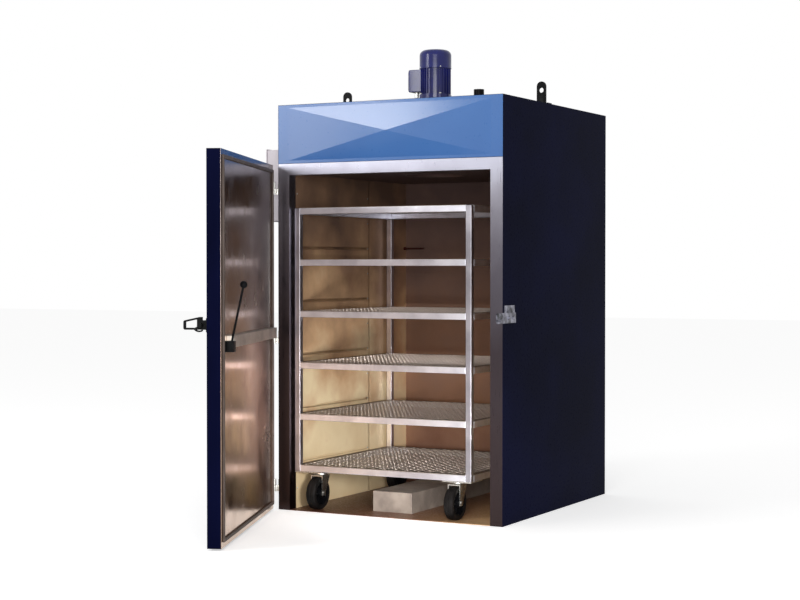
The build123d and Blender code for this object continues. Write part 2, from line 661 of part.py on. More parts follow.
def terminal_box():
    """Box beside the motor where its cable is joined."""
    x1 = FAN_X - MOTOR_RADIUS
    x0 = x1 - TERMINAL_BOX_DEPTH - MOTOR_FIN_HEIGHT
    z0 = MOTOR_BASE + TERMINAL_BOX_RISE
    z1 = z0 + TERMINAL_BOX_HEIGHT
    shell = block(x0, x1 + TERMINAL_BOX_LAP, FAN_Y - TERMINAL_BOX_WIDTH / 2, FAN_Y + TERMINAL_BOX_WIDTH / 2,
                  z0, z1)
    shell = fillet(shell.edges().group_by(Axis.X)[0], TERMINAL_BOX_ROUNDING)
    return shell - rod_z(FAN_X, FAN_Y, z0 - PAST, z1 + PAST, MOTOR_RADIUS)


def cable_route():
    """Centre line of the motor's cable: down from the gland, round and along the roof."""
    x0 = FAN_X - MOTOR_RADIUS - MOTOR_FIN_HEIGHT - TERMINAL_BOX_DEPTH / 2
    z_top = MOTOR_BASE + TERMINAL_BOX_RISE - GLAND_LENGTH
    z_roof = ROOF + CABLE_RADIUS + CABLE_LIFT
    return [(x0, FAN_Y, z_top), (x0, FAN_Y, z_roof), (x0 - CABLE_RUN - CABLE_BEND, FAN_Y, z_roof)]


def motor_cable():
    """Cable from the motor's gland to the junction box, lying in its clip."""
    route = cable_route()
    path = FilletPolyline(*route, radius=CABLE_BEND)
    return sweep(Plane(origin=path @ 0, z_dir=path % 0) * Circle(CABLE_RADIUS), path)


def cable_fittings():
    """Gland under the terminal box, junction box on the roof and the clip between them."""
    route = cable_route()
    x0, y0, z_top = route[0]
    gland = rod_z(x0, y0, z_top, z_top + GLAND_LENGTH, GLAND_RADIUS)
    end_x = route[-1][0]
    junction = block(end_x - JUNCTION_WIDTH, end_x, y0 - JUNCTION_WIDTH / 2, y0 + JUNCTION_WIDTH / 2, ROOF,
                     ROOF + JUNCTION_HEIGHT)
    junction = fillet(junction.edges().filter_by(Axis.Z), JUNCTION_ROUNDING)
    z = route[-1][2]
    clip_x = end_x + CABLE_RUN / 2
    wall = CABLE_RADIUS + CLIP_WALL
    clip = block(clip_x - CLIP_WIDTH / 2, clip_x + CLIP_WIDTH / 2, y0 - wall, y0 + wall, ROOF, z)
    clip += rod_x(clip_x - CLIP_WIDTH / 2, clip_x + CLIP_WIDTH / 2, y0, z, wall)
    clip += block(clip_x - CLIP_WIDTH / 2, clip_x + CLIP_WIDTH / 2, y0 - wall - CLIP_FOOT, y0, ROOF,
                  ROOF + CLIP_WALL)
    clip -= rod_x(clip_x - CLIP_WIDTH, clip_x + CLIP_WIDTH, y0, z, CABLE_RADIUS)
    clip -= block(clip_x - CLIP_WIDTH, clip_x + CLIP_WIDTH, y0 - CABLE_RADIUS, y0 + CABLE_RADIUS,
                  ROOF - PAST, z)
    return [gland, junction] + list(clip.solids())


def fan_shaft():
    """Shaft from the cooling fan down through the roof to the impeller."""
    low = IMPELLER_BOTTOM
    high = MOTOR_TOP + COOLING_FAN_HEIGHT + SHAFT_END
    return rod_z(FAN_X, FAN_Y, low, high, SHAFT_RADIUS)


def impeller():
    """Radial impeller: back plate above, shroud ring below and blades between them."""
    z0 = IMPELLER_BOTTOM
    z1 = z0 + IMPELLER_HEIGHT
    wheel = rod_z(FAN_X, FAN_Y, z1 - IMPELLER_PLATE, z1, IMPELLER_RADIUS)
    wheel += ring_z(FAN_X, FAN_Y, z0, z0 + IMPELLER_PLATE, IMPELLER_RADIUS, IMPELLER_EYE)
    wheel += rod_z(FAN_X, FAN_Y, z1 - IMPELLER_HUB_HEIGHT, z1, HUB_RADIUS)
    for i in range(BLADE_COUNT):
        blade = block(IMPELLER_EYE + BLADE_MARGIN, IMPELLER_RADIUS - BLADE_MARGIN, -BLADE_THICKNESS / 2,
                      BLADE_THICKNESS / 2, z0 + IMPELLER_PLATE / 2, z1 - IMPELLER_PLATE / 2)
        wheel += Pos(FAN_X, FAN_Y, 0) * Rot(0, 0, 360 * i / BLADE_COUNT) * blade
    return wheel - rod_z(FAN_X, FAN_Y, z0 - PAST, z1 + PAST, SHAFT_RADIUS)


def cooling_fan():
    """Small fan on the shaft's upper end, under the cowl."""
    z0 = MOTOR_TOP + COOLING_FAN_RISE
    z1 = z0 + COOLING_FAN_HEIGHT
    wheel = rod_z(FAN_X, FAN_Y, z0, z0 + COOLING_FAN_DISC, COOLING_FAN_RADIUS)
    wheel += rod_z(FAN_X, FAN_Y, z0, z1, SHAFT_RADIUS + COOLING_HUB_WALL)
    for i in range(COOLING_BLADES):
        blade = block(SHAFT_RADIUS + BLADE_MARGIN, COOLING_FAN_RADIUS - BLADE_MARGIN, -BLADE_THICKNESS / 2,
                      BLADE_THICKNESS / 2, z0 + COOLING_FAN_DISC / 2, z1)
        wheel += Pos(FAN_X, FAN_Y, 0) * Rot(0, 0, 360 * i / COOLING_BLADES) * blade
    return wheel - rod_z(FAN_X, FAN_Y, z0 - PAST, z1 + PAST, SHAFT_RADIUS)


def lifting_lugs():
    """Two upright lugs with round heads, each on a foot plate on the roof."""
    lugs = []
    y = FRONT + LUG_FROM_FRONT
    for side in (-1, 1):
        x = side * (CABINET_WIDTH / 2 - LUG_INSET)
        head_z = ROOF + LUG_HEIGHT - LUG_WIDTH / 2
        half = LUG_THICKNESS / 2
        lug = block(x - LUG_WIDTH / 2, x + LUG_WIDTH / 2, y - half, y + half, ROOF, head_z)
        lug += rod_y(x, y - half, y + half, head_z, LUG_WIDTH / 2)
        lug += block(x - LUG_FOOT / 2, x + LUG_FOOT / 2, y - LUG_WIDTH / 2, y + LUG_WIDTH / 2, ROOF,
                     ROOF + LUG_FOOT_THICKNESS)
        lug -= rod_y(x, y - LUG_THICKNESS, y + LUG_THICKNESS, ROOF + LUG_HOLE_HEIGHT, LUG_HOLE_RADIUS)
        lugs.append(lug)
    return lugs


def vent_ports(x, y, z0, radius):
    """Four cutters for the air ports round the vent."""
    half = VENT_PORT_WIDTH / 2
    bar = block(-radius * 2, radius * 2, -half, half, z0, z0 + VENT_PORT_HEIGHT)
    return [Pos(x, y, 0) * Rot(0, 0, angle) * bar for angle in (0, 90)]


def vent_pipe():
    """Vent from the plenum through the roof, closed on top, with ports in its wall."""
    x, y = vent_place()
    top = ROOF + VENT_HEIGHT
    pipe = rod_z(x, y, PLENUM_TOP, top, VENT_RADIUS)
    pipe -= rod_z(x, y, PLENUM_TOP - PAST, top - VENT_WALL, VENT_RADIUS - VENT_WALL)
    port_low = top - VENT_WALL - VENT_PORT_HEIGHT - VENT_PORT_EDGE
    return pipe - vent_ports(x, y, port_low, VENT_RADIUS)


def vent_cap():
    """Turning cap over the vent, with ports that open or cover those of the pipe."""
    x, y = vent_place()
    top = ROOF + VENT_HEIGHT + VENT_GAP + VENT_CAP_HEIGHT
    port_low = ROOF + VENT_HEIGHT - VENT_WALL - VENT_PORT_HEIGHT - VENT_PORT_EDGE
    low = port_low - VENT_CAP_SKIRT
    cap = rod_z(x, y, low, top, VENT_CAP_RADIUS)
    cap -= rod_z(x, y, low - PAST, ROOF + VENT_HEIGHT + VENT_GAP, VENT_RADIUS + VENT_GAP)
    return cap - vent_ports(x, y, port_low, VENT_CAP_RADIUS)


def heater_elements():
    """Tubular hairpin elements on both sides of the fan, on flanges at the plenum's back."""
    solids = []
    z_mid = (CEILING + PLENUM_TOP) / 2
    y1 = CHAMBER_BACK
    for side in (-1, 1):
        x = side * HEATER_FROM_CENTRE
        for i in range(HEATER_COUNT):
            z = z_mid + (i - (HEATER_COUNT - 1) / 2) * HEATER_PITCH
            y0 = y1 - HEATER_LENGTH
            pin = rod_y(x - HEATER_BEND, y0, y1, z, HEATER_TUBE_RADIUS)
            pin += rod_y(x + HEATER_BEND, y0, y1, z, HEATER_TUBE_RADIUS)
            bend = Pos(x, y0, z) * Torus(HEATER_BEND, HEATER_TUBE_RADIUS)
            pin += bend & block(x - 2 * HEATER_BEND, x + 2 * HEATER_BEND, y0 - 2 * HEATER_BEND, y0,
                                z - HEATER_BEND, z + HEATER_BEND)
            pin += block(x - HEATER_FLANGE_WIDTH / 2, x + HEATER_FLANGE_WIDTH / 2,
                         y1 - HEATER_FLANGE_THICKNESS, y1, z - HEATER_FLANGE_HEIGHT / 2,
                         z + HEATER_FLANGE_HEIGHT / 2)
            solids.append(pin)
    return solids


def temperature_probe():
    """Probe across the chamber's back left corner, on a small boss on the side wall."""
    y = CHAMBER_BACK - PROBE_FROM_BACK
    boss = rod_x(CHAMBER_LEFT, CHAMBER_LEFT + PROBE_FROM_SIDE, y, PROBE_HEIGHT, PROBE_BOSS_RADIUS)
    stem = rod_x(CHAMBER_LEFT, CHAMBER_LEFT + PROBE_LENGTH, y, PROBE_HEIGHT, PROBE_RADIUS)
    return boss + stem


def door_outer_skin():
    """Painted tray of the door: its outer face and four edges."""
    inner = DOOR_INNER - LINER
    tray = block(LEFT, RIGHT, DOOR_OUTER, inner, DOOR_BOTTOM, DOOR_TOP)
    return tray - block(LEFT + SKIN, RIGHT - SKIN, DOOR_OUTER + SKIN, inner + PAST, DOOR_BOTTOM + SKIN,
                        DOOR_TOP - SKIN)


def door_inner_skin():
    """Polished stainless inner face of the door."""
    return block(LEFT, RIGHT, DOOR_INNER - LINER, DOOR_INNER, DOOR_BOTTOM, DOOR_TOP)


def door_insulation():
    """Wool slab between the door's skins."""
    return block(LEFT + SKIN, RIGHT - SKIN, DOOR_OUTER + SKIN, DOOR_INNER - LINER, DOOR_BOTTOM + SKIN,
                 DOOR_TOP - SKIN)


def door_gasket():
    """Seal round the door's inner face, just clear of the frame when the door is shut."""
    x0, x1 = LEFT + GASKET_INSET, RIGHT - GASKET_INSET
    z0, z1 = DOOR_BOTTOM + GASKET_INSET, DOOR_TOP - GASKET_INSET
    y0, y1 = DOOR_INNER, FRONT - GASKET_SQUEEZE_GAP
    ring = block(x0, x1, y0, y1, z0, z1)
    return ring - block(x0 + GASKET_WIDTH, x1 - GASKET_WIDTH, y0 - PAST, y1 + PAST, z0 + GASKET_WIDTH,
                        z1 - GASKET_WIDTH)


def cabinet_hinge(z):
    """Cabinet's half of one hinge: leaf, arm, lower knuckle and the pin."""
    z0, z1 = z - HINGE_LENGTH / 2, z + HINGE_LENGTH / 2
    split = z - HINGE_STEP_GAP / 2
    leaf_front = FRONT + CABINET_LEAF_SETBACK
    leaf = block(LEFT - HINGE_LEAF, LEFT, leaf_front, leaf_front + HINGE_LEAF_WIDTH, z0, z1)
    arm = block(HINGE_X, LEFT, HINGE_Y + HINGE_ARM_INSET, leaf_front + HINGE_ARM_LAP, z0, split)
    arm -= block(LEFT - HINGE_LEAF, LEFT + PAST, HINGE_Y, FRONT + HINGE_STEP_GAP, z0 - PAST, z1)
    knuckle = rod_z(HINGE_X, HINGE_Y, z0, split, HINGE_RADIUS)
    pin = rod_z(HINGE_X, HINGE_Y, z0, z1 + HINGE_PIN_TOP, HINGE_PIN_RADIUS)
    return leaf + arm + knuckle + pin


def door_hinge(z):
    """Door's half of one hinge: leaf on the door's edge, arm and upper knuckle."""
    z0, z1 = z - HINGE_LENGTH / 2, z + HINGE_LENGTH / 2
    split = z + HINGE_STEP_GAP / 2
    leaf_back = DOOR_INNER - DOOR_LEAF_SETBACK
    leaf = block(LEFT - HINGE_LEAF, LEFT, leaf_back - HINGE_LEAF_WIDTH, leaf_back, z0, z1)
    arm = block(HINGE_X, LEFT, leaf_back - HINGE_ARM_LAP, HINGE_Y - HINGE_ARM_INSET, split, z1)
    arm -= block(LEFT - HINGE_LEAF, LEFT + PAST, leaf_back, HINGE_Y, z0 - PAST, z1 + PAST)
    knuckle = rod_z(HINGE_X, HINGE_Y, split, z1, HINGE_RADIUS)
    hinge = leaf + arm + knuckle
    return hinge - rod_z(HINGE_X, HINGE_Y, z0 - PAST, z1 + PAST, HINGE_PIN_RADIUS + RUNNING_GAP)


def push_bar():
    """Stiffening channel across the door's inner face, which clears the frame when shut."""
    x0 = CHAMBER_LEFT + PUSH_BAR_SIDE_GAP
    x1 = release_box_left() - PUSH_BAR_END_GAP
    z0, z1 = PUSH_BAR_CENTRE - PUSH_BAR_HEIGHT / 2, PUSH_BAR_CENTRE + PUSH_BAR_HEIGHT / 2
    y1 = DOOR_INNER + PUSH_BAR_PROUD
    bar = block(x0, x1, DOOR_INNER, y1, z0, z1)
    return bar - block(x0 + PUSH_BAR_WALL, x1 - PUSH_BAR_WALL, DOOR_INNER - PAST, y1 - PUSH_BAR_WALL,
                       z0 + PUSH_BAR_WALL, z1 - PUSH_BAR_WALL)


def release_box_left():
    """Left side of the inside release's box on the shut door."""
    return CHAMBER_RIGHT - RELEASE_BOX_SIDE_GAP - RELEASE_BOX_WIDTH


def release_box():
    """Black box of the inside release, open on top, with the lever's pin across it."""
    x0 = release_box_left()
    x1 = x0 + RELEASE_BOX_WIDTH
    z0 = RELEASE_BOX_BOTTOM
    z1 = z0 + RELEASE_BOX_HEIGHT
    y1 = DOOR_INNER + RELEASE_BOX_PROUD
    wall = RELEASE_BOX_WALL
    box = block(x0, x1, DOOR_INNER, y1, z0, z1)
    box -= block(x0 + wall, x1 - wall, DOOR_INNER + wall, y1 - wall / 2, z0 + wall, z1 + PAST)
    y, z = release_pivot()
    return box + rod_x(x0 + wall / 2, x1 - wall / 2, y, z, RELEASE_PIN_RADIUS)


def release_pivot():
    """Y and Z of the inside release lever's pin on the shut door."""
    return DOOR_INNER + RELEASE_PIVOT_PROUD, RELEASE_BOX_BOTTOM + RELEASE_PIVOT_RISE


def release_lever():
    """Inside release lever: a hub on the pin, a leaning rod and a ball on its end."""
    x0 = release_box_left() + RELEASE_BOX_WALL + RELEASE_HUB_PLAY
    x1 = release_box_left() + RELEASE_BOX_WIDTH - RELEASE_BOX_WALL - RELEASE_HUB_PLAY
    y, z = release_pivot()
    hub = rod_x(x0, x1, y, z, RELEASE_HUB_RADIUS)
    rod = Pos(0, 0, RELEASE_ROD_LENGTH / 2) * Cylinder(RELEASE_ROD_RADIUS, RELEASE_ROD_LENGTH)
    ball = Pos(0, 0, RELEASE_ROD_LENGTH) * Sphere(RELEASE_BALL_RADIUS)
    stick = Pos((x0 + x1) / 2, y, z) * Rot(-RELEASE_LEAN, 0, 0) * (rod + ball)
    return hub + stick - rod_x(x0 - PAST, x1 + PAST, y, z, RELEASE_PIN_RADIUS + RUNNING_GAP)


def latch_body():
    """Latch base on the door's outer face, with two cheeks for the lever's shaft."""
    x1 = LATCH_BASE_RIGHT
    x0 = x1 - LATCH_BASE_WIDTH
    half = LATCH_BASE_HEIGHT / 2
    face = DOOR_OUTER - LATCH_BASE_THICKNESS
    base = block(x0, x1, face, DOOR_OUTER, LATCH_HEIGHT - half, LATCH_HEIGHT + half)
    for side_x in cheek_places():
        z0, z1 = LATCH_HEIGHT - CHEEK_HEIGHT / 2, LATCH_HEIGHT + CHEEK_HEIGHT / 2
        cheek = block(side_x, side_x + CHEEK_THICKNESS, LATCH_Y, face, z0, z1)
        cheek += rod_x(side_x, side_x + CHEEK_THICKNESS, LATCH_Y, LATCH_HEIGHT, LEVER_HUB_RADIUS)
        base += cheek
    return base - rod_x(x0 - PAST, x1 + PAST, LATCH_Y, LATCH_HEIGHT, LEVER_SHAFT_RADIUS + RUNNING_GAP)


def cheek_places():
    """Left sides of the two latch cheeks."""
    middle = LATCH_BASE_RIGHT - LATCH_BASE_WIDTH / 2
    gap = LEVER_WIDTH / 2 + CHEEK_PLAY
    return (middle - gap - CHEEK_THICKNESS, middle + gap)


def annular_sector(inner, outer, start, end):
    """Face of a ring sector in the YZ plane about the latch pivot, angles from +Y towards +Z."""
    def at(radius, angle):
        turn = math.radians(angle)
        return (0, LATCH_Y + radius * math.cos(turn), LATCH_HEIGHT + radius * math.sin(turn))
    middle = (start + end) / 2
    edges = [ThreePointArc(at(outer, start), at(outer, middle), at(outer, end)),
             Line(at(outer, end), at(inner, end)),
             ThreePointArc(at(inner, end), at(inner, middle), at(inner, start)),
             Line(at(inner, start), at(outer, start))]
    return make_face(edges)


def latch_lever():
    """Lever: stirrup grip, hub, shaft and the claw beside the door's edge; grip out when open."""
    middle = LATCH_BASE_RIGHT - LATCH_BASE_WIDTH / 2
    x0, x1 = middle - LEVER_WIDTH / 2, middle + LEVER_WIDTH / 2
    tip = LATCH_HEIGHT - LEVER_LENGTH
    door_y = LATCH_Y + LEVER_DOOR_SIDE
    free_y = LATCH_Y - LEVER_FREE_SIDE
    tip_y = LATCH_Y - LEVER_TIP_SIDE
    shoulder = LATCH_HEIGHT - LEVER_SHOULDER
    outline = [(door_y, LATCH_HEIGHT), (door_y, tip), (tip_y, tip), (free_y, shoulder),
               (free_y, LATCH_HEIGHT)]
    grip = profile_yz(outline, x0, x1)
    grip = fillet(grip.edges().filter_by(Axis.X).group_by(Axis.Z)[0], LEVER_BAR)
    high, low = LATCH_HEIGHT - LEVER_HUB_RADIUS - LEVER_BAR, tip + LEVER_BAR
    slope = (tip_y - free_y) / (shoulder - tip)
    window = [(door_y - LEVER_BAR, high), (door_y - LEVER_BAR, low),
              (tip_y + LEVER_BAR - slope * LEVER_BAR, low), (tip_y + LEVER_BAR - slope * (high - tip), high)]
    grip -= profile_yz(window, x0 - PAST, x1 + PAST)
    grip += rod_x(x0, x1, LATCH_Y, LATCH_HEIGHT, LEVER_DOOR_SIDE)
    shaft_left = cheek_places()[0] - LEVER_SHAFT_END
    lever = grip + rod_x(shaft_left, CLAW_RIGHT, LATCH_Y, LATCH_HEIGHT, LEVER_SHAFT_RADIUS)
    web_start = -CLAW_HALF_ANGLE - CLAW_WEB_ANGLE
    claw = annular_sector(CLAW_INNER_RADIUS, CLAW_OUTER_RADIUS, web_start, CLAW_HALF_ANGLE)
    claw += annular_sector(LEVER_SHAFT_RADIUS, CLAW_OUTER_RADIUS, web_start, -CLAW_HALF_ANGLE)
    plate = Pos(CLAW_LEFT, 0, 0) * extrude(claw, amount=CLAW_THICKNESS, dir=(1, 0, 0))
    plate += rod_x(CLAW_LEFT, CLAW_RIGHT, LATCH_Y, LATCH_HEIGHT, CLAW_HUB_RADIUS)
    lever += plate
    return lever.rotate(Axis((0, LATCH_Y, LATCH_HEIGHT), (1, 0, 0)), -90)


def striker():
    """Striker on the cabinet's side: pad, arm and bolts, and the pin that the claw holds."""
    y0, y1 = FRONT + STRIKER_FRONT, FRONT + STRIKER_BACK
    bracket = block(RIGHT, STRIKER_INNER, y0, y1, LATCH_HEIGHT - STRIKER_PAD_BELOW,
                    LATCH_HEIGHT + STRIKER_PAD_ABOVE)
    arm = block(STRIKER_INNER, STRIKER_OUTER, STRIKER_PIN_Y - STRIKER_TIP, y1,
                LATCH_HEIGHT - STRIKER_ARM_BELOW, LATCH_HEIGHT + STRIKER_ARM_ABOVE)
    front_edges = arm.edges().filter_by(Axis.X).group_by(Axis.Y)[0]
    bracket += fillet(front_edges, STRIKER_ROUNDING)
    for y in (y0 + STRIKER_BOLT_INSET, y1 - STRIKER_BOLT_INSET):
        seat = Plane(origin=(STRIKER_OUTER, y, LATCH_HEIGHT + STRIKER_BOLT_RISE), z_dir=(1, 0, 0))
        hexagon = seat * RegularPolygon(BOLT_HEAD_RADIUS, 6)
        bracket += extrude(hexagon, amount=BOLT_HEAD_HEIGHT)
    pin_end = CLAW_RIGHT + CLAW_HEAD_GAP
    pin = rod_x(STRIKER_OUTER, pin_end, STRIKER_PIN_Y, LATCH_HEIGHT, STRIKER_PIN_RADIUS)
    head = rod_x(pin_end, pin_end + STRIKER_HEAD, STRIKER_PIN_Y, LATCH_HEIGHT, STRIKER_HEAD_RADIUS)
    return [bracket, pin, head]


def control_box():
    """Sheet-metal control box on the left side, open where the lid closes it."""
    x0 = LID_X
    box = block(x0, LEFT, CONTROL_FRONT, CONTROL_BACK, CONTROL_BOTTOM, CONTROL_TOP)
    wall = CONTROL_WALL
    return box - block(x0 - PAST, LEFT - wall, CONTROL_FRONT + wall, CONTROL_BACK - wall,
                       CONTROL_BOTTOM + wall, CONTROL_TOP - wall)


def lid_controls():
    """Y and Z of the display, the knob and the two buttons on the lid."""
    front, back = CONTROL_FRONT + CONTROL_INSET, CONTROL_BACK - CONTROL_INSET
    high, low = CONTROL_TOP - CONTROL_INSET, CONTROL_BOTTOM + BUTTON_ROW_RISE
    return {"display": (back, high), "knob": (front, high),
            "start": (back + BUTTON_SPACING / 2, low), "stop": (back - BUTTON_SPACING / 2, low)}


def control_lid():
    """Lid of the control box, with holes for the display, the knob and the buttons."""
    lap = LID_LAP
    lid = block(LID_X - LID_THICKNESS, LID_X, CONTROL_FRONT - lap, CONTROL_BACK + lap, CONTROL_BOTTOM - lap,
                CONTROL_TOP + lap)
    lid = fillet(lid.edges().filter_by(Axis.X), LID_ROUNDING)
    places = lid_controls()
    y, z = places["knob"]
    lid -= rod_x(LID_X - LID_THICKNESS - PAST, LID_X + PAST, y, z, KNOB_SPINDLE_RADIUS + RUNNING_GAP)
    for name in ("start", "stop"):
        y, z = places[name]
        lid -= rod_x(LID_X - LID_THICKNESS - PAST, LID_X + PAST, y, z, BUTTON_STEM_RADIUS + RUNNING_GAP)
    return lid


def controller():
    """Temperature controller: a bezel with a recessed display window."""
    y, z = lid_controls()["display"]
    face = LID_X - LID_THICKNESS
    half = DISPLAY_SIZE / 2
    bezel = block(face - DISPLAY_DEPTH, face, y - half, y + half, z - half, z + half)
    bezel = fillet(bezel.edges().filter_by(Axis.X), DISPLAY_ROUNDING)
    inset = half - DISPLAY_FRAME
    front = face - DISPLAY_DEPTH
    window = block(front - PAST, front + WINDOW_DEPTH, y - inset, y + inset, z - WINDOW_BELOW, z + inset)
    return bezel - window


def isolator_knob():
    """Turning knob of the isolator, with a grip bar and its spindle."""
    y, z = lid_controls()["knob"]
    face = LID_X - LID_THICKNESS - CONTROL_GAP
    knob = rod_x(face - KNOB_HEIGHT / 2, face, y, z, KNOB_RADIUS)
    reach = KNOB_RADIUS - KNOB_GRIP_INSET
    grip = block(face - KNOB_HEIGHT, face - KNOB_HEIGHT / 2, y - KNOB_GRIP_WIDTH / 2, y + KNOB_GRIP_WIDTH / 2,
                 z - reach, z + reach)
    spindle = rod_x(face, LID_X + SPINDLE_REACH, y, z, KNOB_SPINDLE_RADIUS)
    return knob + grip + spindle


def push_button(name):
    """Push button: a cap held off the lid by its travel, on a stem through the lid."""
    y, z = lid_controls()[name]
    face = LID_X - LID_THICKNESS - BUTTON_TRAVEL - CONTROL_GAP
    cap = rod_x(face - BUTTON_HEIGHT, face, y, z, BUTTON_RADIUS)
    cap = fillet(cap.edges().sort_by(Axis.X)[0], BUTTON_ROUNDING)
    return cap + rod_x(face, LID_X + SPINDLE_REACH, y, z, BUTTON_STEM_RADIUS)


def hollow_bar(x0, x1, y0, y1, z0, z1):
    """Square tube between two corners, with its ends closed."""
    wall = TUBE_WALL
    bar = block(x0, x1, y0, y1, z0, z1)
    return bar - block(x0 + wall, x1 - wall, y0 + wall, y1 - wall, z0 + wall, z1 - wall)


def trolley_uprights():
    """Four square-tube corner posts of the trolley."""
    posts = []
    for x in (TROLLEY_LEFT, TROLLEY_RIGHT - TUBE):
        for y in (TROLLEY_FRONT, TROLLEY_BACK - TUBE):
            posts.append(hollow_bar(x, x + TUBE, y, y + TUBE, FRAME_UNDERSIDE, UPRIGHT_TOP))
    return posts


def shelf_frames():
    """Square tubes of each shelf, welded between the corner posts."""
    frames = []
    x0, x1 = TROLLEY_LEFT, TROLLEY_RIGHT
    y0, y1 = TROLLEY_FRONT, TROLLEY_BACK
    for level in SHELF_LEVELS:
        z0, z1 = level - TUBE / 2, level + TUBE / 2
        for y in (y0, y1 - TUBE):
            frames.append(hollow_bar(x0 + TUBE, x1 - TUBE, y, y + TUBE, z0, z1))
        for x in (x0, x1 - TUBE):
            frames.append(hollow_bar(x, x + TUBE, y0 + TUBE, y1 - TUBE, z0, z1))
    return frames


def hole_centres():
    """Centres of the deck's holes: staggered rows from front to back, worked out from the pitch."""
    row_step = HOLE_PITCH * math.sqrt(3) / 2
    width = TROLLEY_WIDTH - 2 * HOLE_EDGE
    depth = TROLLEY_DEPTH - 2 * HOLE_EDGE
    steps = int(depth // HOLE_PITCH)
    rows = int(width // row_step) + 1
    middle_y = TROLLEY_FRONT + TROLLEY_DEPTH / 2
    centres = []
    for row in range(rows):
        shift = HOLE_PITCH / 2 if row % 2 else 0
        count = steps if row % 2 else steps + 1
        x = TROLLEY_X + (row - (rows - 1) / 2) * row_step
        for step in range(count):
            centres.append((x, middle_y + (step - steps / 2) * HOLE_PITCH + shift))
    return centres


def shelf_decks():
    """Perforated sheet of each shelf, notched round the corner posts."""
    margin = DECK_MARGIN
    x0, x1 = TROLLEY_LEFT + margin, TROLLEY_RIGHT - margin
    y0, y1 = TROLLEY_FRONT + margin, TROLLEY_BACK - margin
    notch = TUBE + DECK_MARGIN
    outline = [(x0 + notch, y0), (x1 - notch, y0), (x1 - notch, y0 + notch), (x1, y0 + notch),
               (x1, y1 - notch), (x1 - notch, y1 - notch), (x1 - notch, y1), (x0 + notch, y1),
               (x0 + notch, y1 - notch), (x0, y1 - notch), (x0, y0 + notch), (x0 + notch, y0 + notch)]
    rim = Polyline([(x, y, 0) for x, y in outline], close=True).wire()
    keep = notch + HOLE_RADIUS
    circles = []
    for x, y in hole_centres():
        in_corner = min(x - x0, x1 - x) < keep and min(y - y0, y1 - y) < keep
        if not in_corner:
            circles.append(Wire([Edge.make_circle(HOLE_RADIUS, Plane((x, y, 0)))]))
    sheet = extrude(Face(rim, circles), amount=DECK_SHEET, dir=(0, 0, 1))
    return [Pos(0, 0, level + TUBE / 2) * sheet for level in SHELF_LEVELS]


def caster_places():
    """Swivel axes of the four casters by name."""
    x0, x1 = TROLLEY_LEFT + CASTER_INSET_X, TROLLEY_RIGHT - CASTER_INSET_X
    y0, y1 = TROLLEY_FRONT + CASTER_INSET_Y, TROLLEY_BACK - CASTER_INSET_Y
    return {"front_left": (x0, y0), "front_right": (x1, y0), "back_left": (x0, y1), "back_right": (x1, y1)}


def caster_plates():
    """Plates bolted across the lowest frame to carry the casters, with the kingpins."""
    plates = []
    for x, y in caster_places().values():
        near_left = x < TROLLEY_X
        near_front = y < (TROLLEY_FRONT + TROLLEY_BACK) / 2
        x0 = TROLLEY_LEFT if near_left else x - CASTER_PLATE_SIZE / 2
        x1 = x + CASTER_PLATE_SIZE / 2 if near_left else TROLLEY_RIGHT
        y0 = TROLLEY_FRONT if near_front else y - CASTER_PLATE_SIZE / 2
        y1 = y + CASTER_PLATE_SIZE / 2 if near_front else TROLLEY_BACK
        underside = FRAME_UNDERSIDE - CASTER_PLATE
        plate = block(x0, x1, y0, y1, underside, FRAME_UNDERSIDE)
        plates.append(plate + rod_z(x, y, underside - KINGPIN_LENGTH, FRAME_UNDERSIDE, KINGPIN_RADIUS))
    return plates


def caster_fork(x, y):
    """Swivel fork: bearing boss under the plate, two cheeks and the axle between them."""
    top = FRAME_UNDERSIDE - CASTER_PLATE - SWIVEL_GAP
    crown_bottom = WHEEL_Z + WHEEL_RADIUS + TYRE_CLEARANCE
    crown_top = crown_bottom + FORK_PLATE
    wheel_y = y - CASTER_TRAIL
    front, back = wheel_y - FORK_WIDTH / 4, y + FORK_BOSS_RADIUS
    crown = rod_z(x, y, crown_bottom, top, FORK_BOSS_RADIUS)
    crown -= rod_z(x, y, top - FORK_BORE, top + PAST, KINGPIN_RADIUS + RUNNING_GAP)
    half = TYRE_WIDTH / 2 + FORK_GAP
    bridge = block(x - half - FORK_PLATE, x + half + FORK_PLATE, front, back, crown_bottom, crown_top)
    fork = crown + bridge
    for side in (-1, 1):
        inner = x + side * half
        outer = inner + side * FORK_PLATE
        low = WHEEL_Z - FORK_WIDTH / 4
        points = [(front, low), (wheel_y + FORK_WIDTH / 4, low), (back, crown_bottom), (back, crown_top),
                  (front, crown_top)]
        fork += profile_yz(points, min(inner, outer), max(inner, outer))
    end = half + FORK_PLATE + AXLE_END
    return fork + rod_x(x - end, x + end, wheel_y, WHEEL_Z, AXLE_RADIUS)


